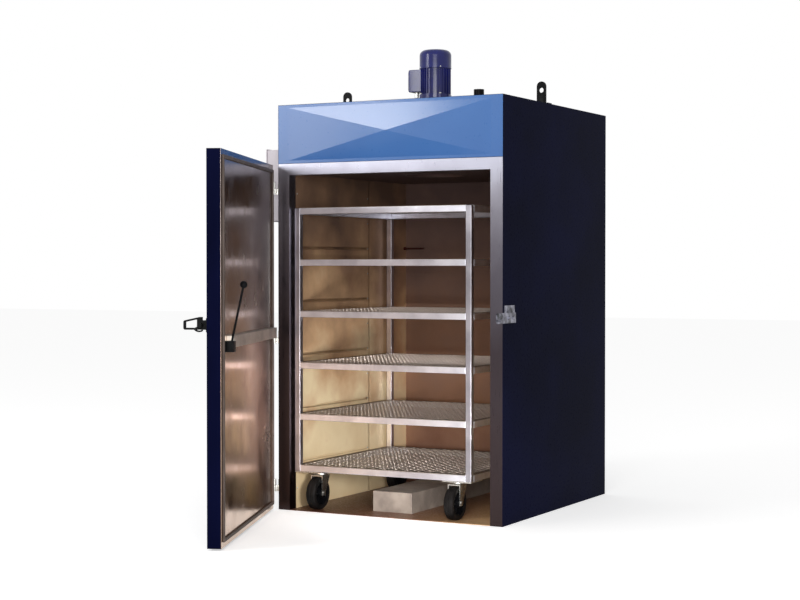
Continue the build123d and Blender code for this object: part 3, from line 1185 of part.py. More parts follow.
def caster_wheel(x, y):
    """Wheel on the axle: a webbed hub and a rubber tyre round it."""
    wheel_y = y - CASTER_TRAIL
    half = TYRE_WIDTH / 2
    rim_radius = WHEEL_RADIUS - TYRE_THICKNESS
    hub = rod_x(x - half, x + half, wheel_y, WHEEL_Z, WHEEL_HUB_RADIUS)
    hub += rod_x(x - WHEEL_WEB / 2, x + WHEEL_WEB / 2, wheel_y, WHEEL_Z, rim_radius)
    rim = rod_x(x - half + RIM_INSET, x + half - RIM_INSET, wheel_y, WHEEL_Z, rim_radius)
    hub += rim - rod_x(x - half, x + half, wheel_y, WHEEL_Z, rim_radius - RIM_THICKNESS)
    hub -= rod_x(x - half - PAST, x + half + PAST, wheel_y, WHEEL_Z, AXLE_RADIUS + RUNNING_GAP)
    tyre = rod_x(x - half, x + half, wheel_y, WHEEL_Z, WHEEL_RADIUS)
    tyre = fillet(tyre.edges(), TYRE_ROUNDING)
    tyre -= rod_x(x - half - PAST, x + half + PAST, wheel_y, WHEEL_Z, rim_radius)
    return [hub, tyre]


def cabinet_nodes():
    """Everything that is fixed to the cabinet."""
    return {
        "side_panel_left": side_panel(-1),
        "side_panel_right": side_panel(1),
        "back_panel": back_panel(),
        "roof_panel": roof_panel(),
        "header_panel": header_panel(),
        "base_frame": base_frame(),
        "door_frame": door_frame(),
        "insulation_wool": insulation_wool(),
        "outer_liners": outer_liners(),
        "duct_wall_left": duct_wall(-1),
        "duct_wall_right": duct_wall(1),
        "back_liner": back_liner(),
        "false_ceiling": false_ceiling(),
        "floor_plate": floor_plate(),
        "guide_box": guide_box(),
        "heater_elements": heater_elements(),
        "temperature_probe": temperature_probe(),
        "lifting_lugs": lifting_lugs(),
        "motor_mount": motor_mount(),
        "motor_housing": motor_housing(),
        "fan_cowl": fan_cowl(),
        "terminal_box": terminal_box(),
        "cable_fittings": cable_fittings(),
        "motor_cable": motor_cable(),
        "vent_pipe": vent_pipe(),
        "cabinet_hinges": [cabinet_hinge(z) for z in HINGE_HEIGHTS],
        "striker": striker(),
        "control_box": control_box(),
        "control_lid": control_lid(),
        "controller": controller(),
    }


def moving_nodes():
    """The fan's rotor, the vent cap and the controls."""
    return {
        "fan_shaft": fan_shaft(),
        "impeller": impeller(),
        "cooling_fan": cooling_fan(),
        "vent_cap": vent_cap(),
        "isolator_knob": isolator_knob(),
        "start_button": push_button("start"),
        "stop_button": push_button("stop"),
    }


def door_nodes():
    """The door and what is on it, made shut and then swung open."""
    shut = {
        "door_outer_skin": door_outer_skin(),
        "door_inner_skin": door_inner_skin(),
        "door_insulation": door_insulation(),
        "door_gasket": door_gasket(),
        "door_hinges": [door_hinge(z) for z in HINGE_HEIGHTS],
        "push_bar": push_bar(),
        "latch_body": latch_body(),
        "latch_lever": latch_lever(),
        "release_box": release_box(),
        "release_lever": release_lever(),
    }
    swung_open = {}
    for name, shape in shut.items():
        pieces = shape if isinstance(shape, list) else [shape]
        swung_open[name] = [swung(piece) for piece in pieces]
    return swung_open


def trolley_nodes():
    """The shelf trolley and its casters."""
    nodes = {
        "trolley_uprights": trolley_uprights(),
        "shelf_frames": shelf_frames(),
        "shelf_decks": shelf_decks(),
        "caster_plates": caster_plates(),
    }
    for name, (x, y) in caster_places().items():
        nodes["caster_fork_" + name] = caster_fork(x, y)
        nodes["caster_wheel_" + name] = caster_wheel(x, y)
    return nodes


def write_node(name, shape):
    """Write one node's solids to its STEP file."""
    pieces = shape if isinstance(shape, list) else [shape]
    solids = [solid for piece in pieces for solid in piece.solids()]
    whole = Compound(children=solids) if len(solids) > 1 else solids[0]
    export_step(whole, os.path.join("parts", name + ".step"))


def main():
    """Build every node and write it."""
    os.makedirs("parts", exist_ok=True)
    for nodes in (cabinet_nodes(), moving_nodes(), door_nodes(), trolley_nodes()):
        for name, shape in nodes.items():
            write_node(name, shape)


main()
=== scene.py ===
"""Truck-in drying oven in a plain studio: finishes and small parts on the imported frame.

Metres, in the frame's own axes: +X to the right, +Y to the back, +Z up, origin on the floor under the
cabinet's middle. The door stands partly open and the shelf trolley is in the chamber.
"""
from __future__ import annotations

import json
import logging
import math
from dataclasses import dataclass, replace
from enum import Enum
from typing import ClassVar, Iterable, Sequence

import bmesh
import bpy
from mathutils import Matrix, Vector

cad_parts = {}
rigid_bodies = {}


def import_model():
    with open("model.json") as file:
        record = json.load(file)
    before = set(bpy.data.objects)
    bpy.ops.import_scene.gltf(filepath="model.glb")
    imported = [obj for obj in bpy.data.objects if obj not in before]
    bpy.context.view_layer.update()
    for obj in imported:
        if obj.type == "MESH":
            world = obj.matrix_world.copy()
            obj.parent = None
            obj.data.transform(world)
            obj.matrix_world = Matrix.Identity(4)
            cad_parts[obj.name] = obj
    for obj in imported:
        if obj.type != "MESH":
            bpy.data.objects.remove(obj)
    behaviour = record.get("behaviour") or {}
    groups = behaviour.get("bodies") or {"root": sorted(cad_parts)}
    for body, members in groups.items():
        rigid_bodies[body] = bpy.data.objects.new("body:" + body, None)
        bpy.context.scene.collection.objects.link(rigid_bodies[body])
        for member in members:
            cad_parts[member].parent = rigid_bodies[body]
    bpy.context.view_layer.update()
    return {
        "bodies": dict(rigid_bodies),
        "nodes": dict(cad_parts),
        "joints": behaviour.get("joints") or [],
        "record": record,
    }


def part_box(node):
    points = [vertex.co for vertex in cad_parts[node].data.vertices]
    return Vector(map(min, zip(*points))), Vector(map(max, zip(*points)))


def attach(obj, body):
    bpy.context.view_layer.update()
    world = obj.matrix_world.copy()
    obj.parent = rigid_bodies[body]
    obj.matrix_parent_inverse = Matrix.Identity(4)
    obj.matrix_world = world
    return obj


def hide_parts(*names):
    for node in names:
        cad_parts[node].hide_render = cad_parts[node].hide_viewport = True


LOG = logging.getLogger("drying_oven")
MM = 0.001
Point = tuple[float, float, float]
Profile = Sequence[tuple[float, float]]
SMOOTH_ANGLE = math.radians(32)
LEFT, FORWARD, BACK = (-1, 0, 0), (0, -1, 0), (0, 1, 0)


def linear(colour: str) -> tuple[float, float, float, float]:
    """Turn an sRGB hex colour with a leading hash into linear light and an alpha of one."""
    channels = [int(colour[i:i + 2], 16) / 255 for i in (1, 3, 5)]
    red, green, blue = (c / 12.92 if c <= 0.04045 else ((c + 0.055) / 1.055) ** 2.4 for c in channels)
    return red, green, blue, 1.0


class Tree:
    """A node tree with short ways to add to it."""

    def __init__(self, tree: bpy.types.NodeTree) -> None:
        """Take up a tree."""
        self.tree = tree

    @classmethod
    def of(cls, owner: bpy.types.Material | bpy.types.World) -> Tree:
        """Take up the tree of a material or a world, emptied."""
        owner.use_nodes = True
        owner.node_tree.nodes.clear()
        return cls(owner.node_tree)

    def add(self, kind: str, inputs: dict[str | int, object] | None = None,
            **settings: object) -> bpy.types.Node:
        """Add a node, set its options and fill or link its inputs.

        Args:
            kind: Blender's name of the node type.
            inputs: Values or output sockets by the input's name or number.
            **settings: Options of the node.

        Returns:
            The new node.
        """
        node = self.tree.nodes.new(kind)
        for name, value in settings.items():
            setattr(node, name, value)
        for key, value in (inputs or {}).items():
            if isinstance(value, bpy.types.NodeSocket):
                self.tree.links.new(value, node.inputs[key])
            else:
                node.inputs[key].default_value = value
        return node

    def out(self, kind: str, inputs: dict[str | int, object] | None = None, output: str | int = 0,
            **settings: object) -> bpy.types.NodeSocket:
        """Add a node as above and return one of its outputs, the first unless another is named."""
        return self.add(kind, inputs, **settings).outputs[output]

    def math(self, operation: str, *values: object) -> bpy.types.NodeSocket:
        """Result of a Math node."""
        return self.out("ShaderNodeMath", dict(enumerate(values)), operation=operation)


class Shading(Tree):
    """Tree of a material's shader, with its coordinates and patterns in real sizes."""

    def __init__(self, tree: bpy.types.NodeTree) -> None:
        """Take up a tree and read the object's coordinates."""
        super().__init__(tree)
        self.coords = self.out("ShaderNodeTexCoord", output="Object")
        self.drawn = self.coords

    def stretch(self, scale: Point) -> None:
        """Draw the patterns out along the axes whose scale is under one."""
        self.drawn = self.out("ShaderNodeMapping", {"Vector": self.coords, "Scale": scale})

    def noise(self, coords: bpy.types.NodeSocket, size_mm: float, detail: float) -> bpy.types.NodeSocket:
        """Soft noise with patches of a real size."""
        return self.out("ShaderNodeTexNoise",
                        {"Vector": coords, "Scale": 1 / (size_mm * MM), "Detail": detail})

    def mapped(self, value: bpy.types.NodeSocket, low: float, high: float, to_low: float = 0.0,
               to_high: float = 1.0) -> bpy.types.NodeSocket:
        """Move a value from one range to another and clamp it."""
        return self.out("ShaderNodeMapRange", {"Value": value, "From Min": low, "From Max": high,
                                               "To Min": to_low, "To Max": to_high})

    def mix(self, share: bpy.types.NodeSocket, first: object, second: object) -> bpy.types.NodeSocket:
        """Mix two colours."""
        return self.out("ShaderNodeMix", {"Factor": share, "A": first, "B": second}, 2, data_type="RGBA")


@dataclass(frozen=True)
class Finish:
    """A surface finish: two tones in soft patches, a grain in the gloss and a slight relief.

    patch_mm and grain_mm are real sizes of the pattern; stretch draws both out along an axis. The ranges
    are the parts of a noise's values that are spread over the whole of what it drives.
    """

    name: str
    colour: str
    shade: str = ""
    metallic: float = 0.0
    roughness: float = 0.4
    spread: float = 0.08
    least_roughness: float = 0.02
    patch_mm: float = 180.0
    patch_detail: float = 4.0
    patch_range: tuple[float, float] = (0.35, 0.65)
    grain_mm: float = 6.0
    grain_detail: float = 3.0
    grain_range: tuple[float, float] = (0.3, 0.7)
    stretch: Point = (1.0, 1.0, 1.0)
    relief_mm: float = 0.05
    relief_strength: float = 0.6
    specular: float = 0.5
    coat: float = 0.0
    coat_roughness: float = 0.1
    glow: float = 0.0

    def material(self) -> bpy.types.Material:
        """Return the material of this finish, made on first use."""
        known = bpy.data.materials.get(self.name)
        if known is not None:
            return known
        material = bpy.data.materials.new(self.name)
        ink = Shading.of(material)
        ink.stretch(self.stretch)
        grain = ink.noise(ink.drawn, self.grain_mm, self.grain_detail)
        gloss = ink.mapped(grain, *self.grain_range, max(self.roughness - self.spread, self.least_roughness),
                           self.roughness + self.spread)
        relief = ink.out("ShaderNodeBump", {"Strength": self.relief_strength,
                                            "Distance": self.relief_mm * MM, "Height": grain})
        inputs = {"Base Color": self.tone(ink), "Metallic": self.metallic, "Roughness": gloss,
                  "Normal": relief, "Specular IOR Level": self.specular, "Coat Weight": self.coat,
                  "Coat Roughness": self.coat_roughness}
        if self.glow:
            inputs |= {"Emission Color": linear(self.colour), "Emission Strength": self.glow}
        ink.add("ShaderNodeOutputMaterial", {"Surface": ink.out("ShaderNodeBsdfPrincipled", inputs)})
        material.diffuse_color = linear(self.colour)
        return material

    def tone(self, ink: Shading) -> bpy.types.NodeSocket:
        """Colour of the surface: here the two tones mixed in patches.

        Args:
            ink: Tree of the material.

        Returns:
            A colour output.
        """
        patch = ink.noise(ink.drawn, self.patch_mm, self.patch_detail)
        return ink.mix(ink.mapped(patch, *self.patch_range), linear(self.colour), linear(self.shade))


@dataclass(frozen=True)
class HeightTone(Finish):
    """A finish whose colour changes along an axis, mostly the height: heat tint on stainless, and painted
    light and shade.
    """

    stops: tuple[tuple[float, str], ...] = ()
    drift_mm: float = 300.0
    drift_detail: float = 5.0
    axis: str = "Z"

    def tone(self, ink: Shading) -> bpy.types.NodeSocket:
        """Colour by place along the axis, with cloudy patches that shift it to and fro."""
        level = ink.out("ShaderNodeSeparateXYZ", {"Vector": ink.coords}, self.axis)
        shift = ink.math("SUBTRACT", ink.noise(ink.coords, self.patch_mm, self.drift_detail), 0.5)
        moved = ink.math("MULTIPLY_ADD", shift, 2 * self.drift_mm * MM, level)
        first, last = self.stops[0][0], self.stops[-1][0]
        ramp = ink.add("ShaderNodeValToRGB", {"Fac": ink.mapped(moved, first, last)})
        elements = ramp.color_ramp.elements
        elements[0].color, elements[1].color = (linear(self.stops[end][1]) for end in (0, -1))
        for place, colour in self.stops[1:-1]:
            elements.new((place - first) / (last - first)).color = linear(colour)
        return ramp.outputs["Color"]


@dataclass(frozen=True)
class Spangle(Finish):
    """Zinc coat whose crystals show as small flakes of slightly different grey."""

    flake_mm: float = 9.0

    def tone(self, ink: Shading) -> bpy.types.NodeSocket:
        """Colour of the flakes."""
        flakes = ink.out("ShaderNodeTexVoronoi", {"Vector": ink.coords, "Scale": 1 / (self.flake_mm * MM)},
                         "Color")
        grey = ink.out("ShaderNodeSeparateColor", {"Color": flakes})
        return ink.mix(grey, linear(self.colour), linear(self.shade))


@dataclass(frozen=True)
class Punched(Finish):
    """Sheet lying level, whose punched edges carry a painted highlight, brighter than its dulled faces."""

    edge: str = "#ffffff"
    level_limit: float = 0.5

    def tone(self, ink: Shading) -> bpy.types.NodeSocket:
        """Colour of the faces, and the painted highlight where the sheet is cut."""
        normal = ink.out("ShaderNodeNewGeometry", output="True Normal")
        up = ink.math("ABSOLUTE", ink.out("ShaderNodeSeparateXYZ", {"Vector": normal}, "Z"))
        # The cut faces take the edge colour as a painted highlight.
        cut = ink.math("LESS_THAN", up, self.level_limit)
        return ink.mix(cut, super().tone(ink), linear(self.edge))


class Coat:
    """The finishes of the oven."""

    # Stoved gloss enamel on sheet steel: deep navy, with a faint orange peel drawn 12 mm coarse to show.
    # The navy is darker than the paint itself: painted shade on the panels that face away from the light.
    NAVY_ENAMEL_PAINTED_SHADE = Finish("stoved_enamel_navy_painted_shade", "#05071c", "#090c28", roughness=0.3, spread=0.05,
                         patch_mm=500, grain_mm=12, specular=0.005)
    # The same enamel, lighter as painted light on the header that faces the lamps; glossy enough to mirror
    # the light over the door.
    BLUE_ENAMEL_PAINTED_LIGHT = Finish("stoved_enamel_blue_painted_light", "#305c97", "#35629d", roughness=0.3, spread=0.03,
                         patch_mm=420, grain_mm=14, relief_mm=0.03, specular=0.2, coat=0.7,
                         coat_roughness=0.15)
    # Rolled stainless of the door frame: pale and slightly lilac, with painted shade that darkens it low
    # down.
    FRAME_STAINLESS_PAINTED_SHADE = HeightTone("door_frame_stainless_painted_shade", "#c4c4cf", metallic=1.0, roughness=0.34,
                                 patch_mm=240, grain_mm=5, stretch=(1.0, 1.0, 0.06), relief_mm=0.03,
                                 drift_mm=180,
                                 stops=((0.0, "#3a3030"), (0.8, "#413a3e"), (1.2, "#5e5a62"),
                                        (1.55, "#85838c"), (1.72, "#a2a2ae")))
    # Scuffed and heat-yellowed stainless of the guide box, more oxide than bare metal.
    GUIDE_STAINLESS = Finish("scuffed_stainless", "#a2968b", "#857a72", metallic=0.35, roughness=0.42,
                             spread=0.1, patch_mm=90, relief_mm=0.06, specular=0.35)
    # Stainless sheet with a mill finish: soft grey, a little cloudy.
    MILL_STAINLESS = Finish("mill_stainless", "#c9c2b8", "#a59d94", metallic=1.0, roughness=0.38, spread=0.1,
                            patch_mm=140, stretch=(0.15, 1.0, 1.0), relief_mm=0.04)
    # Perforated stainless sheet, browned by heat on its faces, with a painted highlight on the edges of the
    # punched holes.
    DECK_STAINLESS = Punched("deck_stainless", "#584d48", "#3a302d", metallic=0.75, roughness=0.45,
                             spread=0.12, patch_mm=70, grain_mm=5, relief_mm=0.08, edge="#b2a59b")
    # Mirror-polished stainless: clear reflections with the slow ripple of thin sheet. Its colour along the
    # height is partly heat tint and partly painted reflection of the lit chamber, warm low down and darker at
    # the top.
    POLISHED_STAINLESS_PAINTED_REFLECTION = HeightTone("polished_stainless_painted_reflection", "#b5a396", metallic=1.0, roughness=0.21,
                                    spread=0.07, patch_mm=300, grain_mm=160, relief_mm=0.7, drift_mm=500,
                                    stops=((0.0, "#c4a78e"), (0.7, "#b89f8d"), (1.3, "#a69892"),
                                           (1.8, "#8a7f7d")))
    # Ground tube, bright where handled, and the duller tube of the posts.
    BRIGHT_TUBE = Finish("ground_steel_tube", "#f0f0f8", "#d6d5de", metallic=1.0, roughness=0.36,
                         patch_mm=110, grain_mm=4, relief_mm=0.03)
    WORN_TUBE = replace(BRIGHT_TUBE, name="worn_steel_tube", colour="#b4b1b8", shade="#98959c")
    # Stainless that has been baked for years: straw, bronze, then dark brown towards the top; partly heat
    # tint, partly painted light low down and painted shade at the top. The oxide film scatters light, so it
    # is only partly metallic.
    BAKED_WALL_PAINTED_LIGHT = HeightTone("baked_wall_painted_light", "#b48a58", metallic=0.35, roughness=0.5, spread=0.1,
                            patch_mm=260, grain_mm=7, relief_mm=0.06, specular=0.3, drift_mm=800,
                            stops=((0.0, "#ecd2a6"), (0.45, "#f8e2b8"), (0.85, "#dcb48a"), (1.2, "#b08a6c"),
                                   (1.7, "#7a6050")))
    # The back lining in darker browns, partly heat tint and partly painted shade of the deep chamber.
    BAKED_BACK_PAINTED_SHADE = replace(BAKED_WALL_PAINTED_LIGHT, name="baked_back_painted_shade", colour="#8a6a4c",
                         stops=((0.0, "#664638"), (0.6, "#80604e"), (1.1, "#785e52"), (1.7, "#624e4a")))
    # Baked floor plate, dark brown, made paler towards the right by a painted pool of light.
    BAKED_FLOOR_PAINTED_LIGHT = HeightTone("baked_floor_painted_light", "#5e3a2a", metallic=0.15, roughness=0.4, spread=0.12,
                             patch_mm=200, grain_mm=9, relief_mm=0.06, axis="X", drift_mm=160,
                             stops=((-0.4, "#54301f"), (0.0, "#6c4631"), (0.28, "#8f6a49"),
                                    (0.5, "#cda77a")))
    # Cast motor shell under thick glossy enamel: saturated navy with a soft sand-cast relief.
    MOTOR_ENAMEL = Finish("cast_iron_enamel_navy", "#0f1450", "#151b62", roughness=0.34, spread=0.06,
                          patch_mm=60, grain_mm=3, relief_mm=0.06, specular=0.1, coat=0.5)
    # Passivated zinc on pressed steel: bright grey with small spangles.
    ZINC = Spangle("zinc_plate", "#dcdbd6", "#c0bfba", metallic=1.0, roughness=0.3, grain_mm=4,
                   relief_mm=0.03, flake_mm=7)
    GALVANISED = Spangle("hot_dip_galvanised", "#b4b8ba", "#9a9ea1", metallic=1.0, roughness=0.45,
                         grain_mm=5, relief_mm=0.04, flake_mm=14)
    # Blued steel of the striker, worn to bare metal in patches.
    BLUED_STEEL = Finish("blued_steel", "#0d0d14", "#8d8d9a", metallic=0.9, roughness=0.34, spread=0.12,
                         patch_mm=34, grain_mm=3)
    # Satin black enamel on castings.
    BLACK_ENAMEL = Finish("satin_black_enamel", "#060607", "#0e0e10", roughness=0.36, patch_mm=40,
                          grain_mm=3, relief_mm=0.06, specular=0.06)
    # Moulded tyre rubber: near black, dull, dusty in patches.
    TYRE_RUBBER = Finish("tyre_rubber", "#090808", "#161312", roughness=0.55, spread=0.1, patch_mm=30,
                         grain_mm=3, relief_mm=0.12, specular=0.1)
    # Extruded silicone seal, browned by heat: matt.
    SILICONE = Finish("silicone_seal", "#5d524c", "#4c423d", roughness=0.62, spread=0.06, patch_mm=80,
                      grain_mm=4, specular=0.2)
    CABLE_SHEATH = Finish("cable_sheath", "#111113", "#1a1a1d", roughness=0.5, spread=0.06, patch_mm=30,
                          grain_mm=3, relief_mm=0.04, specular=0.2)
    # Light grey enamel of the control box.
    GREY_ENAMEL = Finish("stoved_enamel_grey", "#bdb6bc", "#b1aab0", roughness=0.36, spread=0.05,
                         patch_mm=200, grain_mm=9, specular=0.35)
    # Moulded ABS of knobs, bezels and buttons, with a spark-eroded grain.
    BLACK_ABS = Finish("moulded_abs_black", "#131416", "#1b1c1f", roughness=0.48, spread=0.06, patch_mm=20,
                       grain_mm=2, specular=0.3)
    RED_ABS = Finish("moulded_abs_red", "#b3201b", "#a31a17", roughness=0.3, spread=0.05, patch_mm=12,
                     grain_mm=3, relief_mm=0.03)
    GREEN_ABS = replace(RED_ABS, name="moulded_abs_green", colour="#1f7a3c", shade="#1a6c34")
    DARK_WINDOW = Finish("smoked_window", "#0c0d10", "#101216", roughness=0.12, spread=0.03, patch_mm=20,
                         relief_mm=0.01)
    RED_DIGIT = Finish("lit_digit_red", "#ff3a22", "#ff3a22", grain_mm=4, relief_mm=0.01, glow=1.2)
    # Oxidised sheath of the temperature probe: dark red brown.
    PROBE_SHEATH = Finish("oxidised_sheath", "#5a2018", "#3c1812", metallic=0.6, roughness=0.5, patch_mm=20,
                          grain_mm=3)
    MINERAL_WOOL = Finish("mineral_wool", "#b39a5a", "#94803f", roughness=0.95, spread=0.03, patch_mm=30,
                          relief_mm=1.5, specular=0.1)
    GROUND_SHAFT = Finish("ground_shaft", "#cfd0d2", "#bcbdbf", metallic=1.0, roughness=0.2, spread=0.05,
                          patch_mm=40, grain_mm=3, relief_mm=0.01)


def shade(mesh: bpy.types.Mesh) -> None:
    """Shade a mesh smooth, with sharp edges where it turns by more than the smooth angle."""
    mesh.polygons.foreach_set("use_smooth", [True] * len(mesh.polygons))
    mesh.set_sharp_from_angle(angle=SMOOTH_ANGLE)


def finished(work: bmesh.types.BMesh, name: str) -> bpy.types.Mesh:
    """Turn the mesh being built into a shaded mesh, and free it."""
    mesh = bpy.data.meshes.new(name)
    work.to_mesh(mesh)
    work.free()
    shade(mesh)
    return mesh


def closed(work: bmesh.types.BMesh, name: str, place: Matrix) -> bpy.types.Mesh:
    """Move the mesh being built to its place, close its seams, turn its faces outwards and finish it."""
    work.transform(place)
    bmesh.ops.dissolve_degenerate(work, dist=1e-7, edges=work.edges)
    bmesh.ops.remove_doubles(work, verts=work.verts, dist=1e-6)
    bmesh.ops.recalc_face_normals(work, faces=work.faces)
    return finished(work, name)


def lathe(name: str, profile: Profile, place: Matrix, segments: int = 56) -> bpy.types.Mesh:
    """Turn a closed profile about the local Z axis.

    Args:
        name: The mesh's name.
        profile: (radius, height) points of a closed outline.
        place: Where the local axis goes in the oven's frame.
        segments: Steps round the axis.

    Returns:
        The turned mesh.
    """
    work = bmesh.new()
    rings = []
    for i in range(segments):
        angle = 2 * math.pi * i / segments
        rings.append([work.verts.new((r * math.cos(angle), r * math.sin(angle), h)) for r, h in profile])
    for ring, following in zip(rings, rings[1:] + rings[:1]):
        for j in range(len(profile)):
            k = (j + 1) % len(profile)
            work.faces.new([ring[j], following[j], following[k], ring[k]])
    return closed(work, name, place)


def mirrored(side: Profile) -> list[tuple[float, float]]:
    """Profile of one side, and the same on the other side of the middle plane."""
    return [*side, *((r, -h) for r, h in reversed(side))]


def widened(profile: Profile, radius: float) -> list[tuple[float, float]]:
    """Profile whose radii are counted from a given one."""
    return [(radius + r, h) for r, h in profile]


def slab(name: str, low: Point, high: Point) -> bpy.types.Mesh:
    """Box between its lowest and its highest corner."""
    work = bmesh.new()
    outline = [(low[0], low[1]), (high[0], low[1]), (high[0], high[1]), (low[0], high[1])]
    base = work.faces.new([work.verts.new((x, y, 0.0)) for x, y in outline])
    out = bmesh.ops.extrude_face_region(work, geom=[base])
    moved = [v for v in out["geom"] if isinstance(v, bmesh.types.BMVert)]
    bmesh.ops.translate(work, verts=moved, vec=(0.0, 0.0, high[2] - low[2]))
    return closed(work, name, Matrix.Translation((0, 0, low[2])))


def joined(name: str, parts: Iterable[tuple[bpy.types.Mesh, Matrix]]) -> bpy.types.Mesh:
    """Copy meshes to their places in one mesh.

    Args:
        name: The new mesh's name.
        parts: Meshes with the matrix that places each.

    Returns:
        One mesh that holds them all.
    """
    work = bmesh.new()
    for mesh, place in parts:
        before = len(work.verts)
        work.from_mesh(mesh)
        work.verts.ensure_lookup_table()
        bmesh.ops.transform(work, matrix=place, verts=work.verts[before:])
    return finished(work, name)


def facing(origin: Point | Vector, normal: Point | Vector) -> Matrix:
    """Matrix that stands local Z on an upright surface, with local Y upwards.

    Args:
        origin: Point on the surface.
        normal: Direction of local Z, which is level.

    Returns:
        The placing matrix.
    """
    z_axis = Vector(normal).normalized()
    x_axis = Vector((0, 0, 1)).cross(z_axis).normalized()
    turn = Matrix((x_axis, z_axis.cross(x_axis), z_axis)).transposed().to_4x4()
    return Matrix.Translation(Vector(origin)) @ turn


def corners(node: str) -> tuple[Vector, Vector]:
    """Lowest and highest corner of a node's box."""
    low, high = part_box(node)
    return Vector(low), Vector(high)


def inset(low: float, high: float, margin: float) -> tuple[float, float]:
    """The two places that lie inside both ends by a margin."""
    return low + margin, high - margin


def show(thing: bpy.types.Object) -> bpy.types.Object:
    """Link an object to the scene."""
    bpy.context.scene.collection.objects.link(thing)
    return thing


class Head(Enum):
    """Forms of a fastener's head, each with its number of sides, or none for a dome."""

    HEX = 6
    ROUND = 16
    DOME = 0


@dataclass(frozen=True)
class Fastener:
    """Head of a screw, bolt, rivet or nut."""

    form: Head
    radius: float
    height: float
    finish: Finish = Coat.ZINC

    @property
    def sizes(self) -> dict[str, float]:
        """The head's sizes, by the names of the recipes' inputs."""
        return {"Head_Radius": self.radius, "Head_Height": self.height}


class Recipe(Tree):
    """A Geometry Nodes tree with named inputs, turned into plain meshes."""

    def __init__(self, name: str, **inputs: str) -> None:
        """Start a tree.

        Args:
            name: The tree's name.
            **inputs: Kind of socket by the input's name, besides the base geometry and the material.
        """
        super().__init__(bpy.data.node_groups.new(name, "GeometryNodeTree"))
        sockets = self.tree.interface
        for label, kind in {"Geometry": "Geometry", **inputs, "Material": "Material"}.items():
            sockets.new_socket(label, in_out="INPUT", socket_type="NodeSocket" + kind)
        sockets.new_socket("Geometry", in_out="OUTPUT", socket_type="NodeSocketGeometry")
        self.given = self.tree.nodes.new("NodeGroupInput").outputs

    def vector(self, **parts: object) -> bpy.types.NodeSocket:
        """Vector put together from its parts."""
        return self.out("ShaderNodeCombineXYZ", parts)

    def on_points(self, points: bpy.types.NodeSocket, instance: bpy.types.NodeSocket,
                  **more: object) -> bpy.types.NodeSocket:
        """Set an instance on every point."""
        return self.out("GeometryNodeInstanceOnPoints", {"Points": points, "Instance": instance, **more})

    def join(self, *pieces: bpy.types.NodeSocket) -> bpy.types.NodeSocket:
        """Join pieces of geometry."""
        node = self.add("GeometryNodeJoinGeometry")
        for piece in pieces:
            self.tree.links.new(piece, node.inputs["Geometry"])
        return node.outputs["Geometry"]

    def close(self, geometry: bpy.types.NodeSocket) -> Recipe:
        """End the tree in real geometry with its material, and return the recipe."""
        real = self.out("GeometryNodeRealizeInstances", {"Geometry": geometry})
        dressed = self.out("GeometryNodeSetMaterial", {"Geometry": real, "Material": self.given["Material"]})
        self.add("NodeGroupOutput", {"Geometry": dressed})
        return self

    def mesh(self, name: str, finish: Finish, base: bpy.types.Mesh | None = None,
             **values: object) -> bpy.types.Mesh:
        """Run the tree once.

        Args:
            name: The mesh's name.
            finish: Finish that the tree sets.
            base: Mesh that the tree starts from, if it needs one.
            **values: Input values.

        Returns:
            The mesh that the tree made.
        """
        carrier = show(bpy.data.objects.new(name + "_carrier", base or bpy.data.meshes.new(name + "_empty")))
        modifier = carrier.modifiers.new("recipe", "NODES")
        modifier.node_group = self.tree
        values["Material"] = finish.material()
        for item in self.tree.interface.items_tree:
            if item.in_out == "INPUT" and item.name in values:
                modifier[item.identifier] = values[item.name]
        graph = bpy.context.evaluated_depsgraph_get()
        mesh = bpy.data.meshes.new_from_object(carrier.evaluated_get(graph))
        bpy.data.objects.remove(carrier)
        mesh.name = name
        shade(mesh)
        return mesh


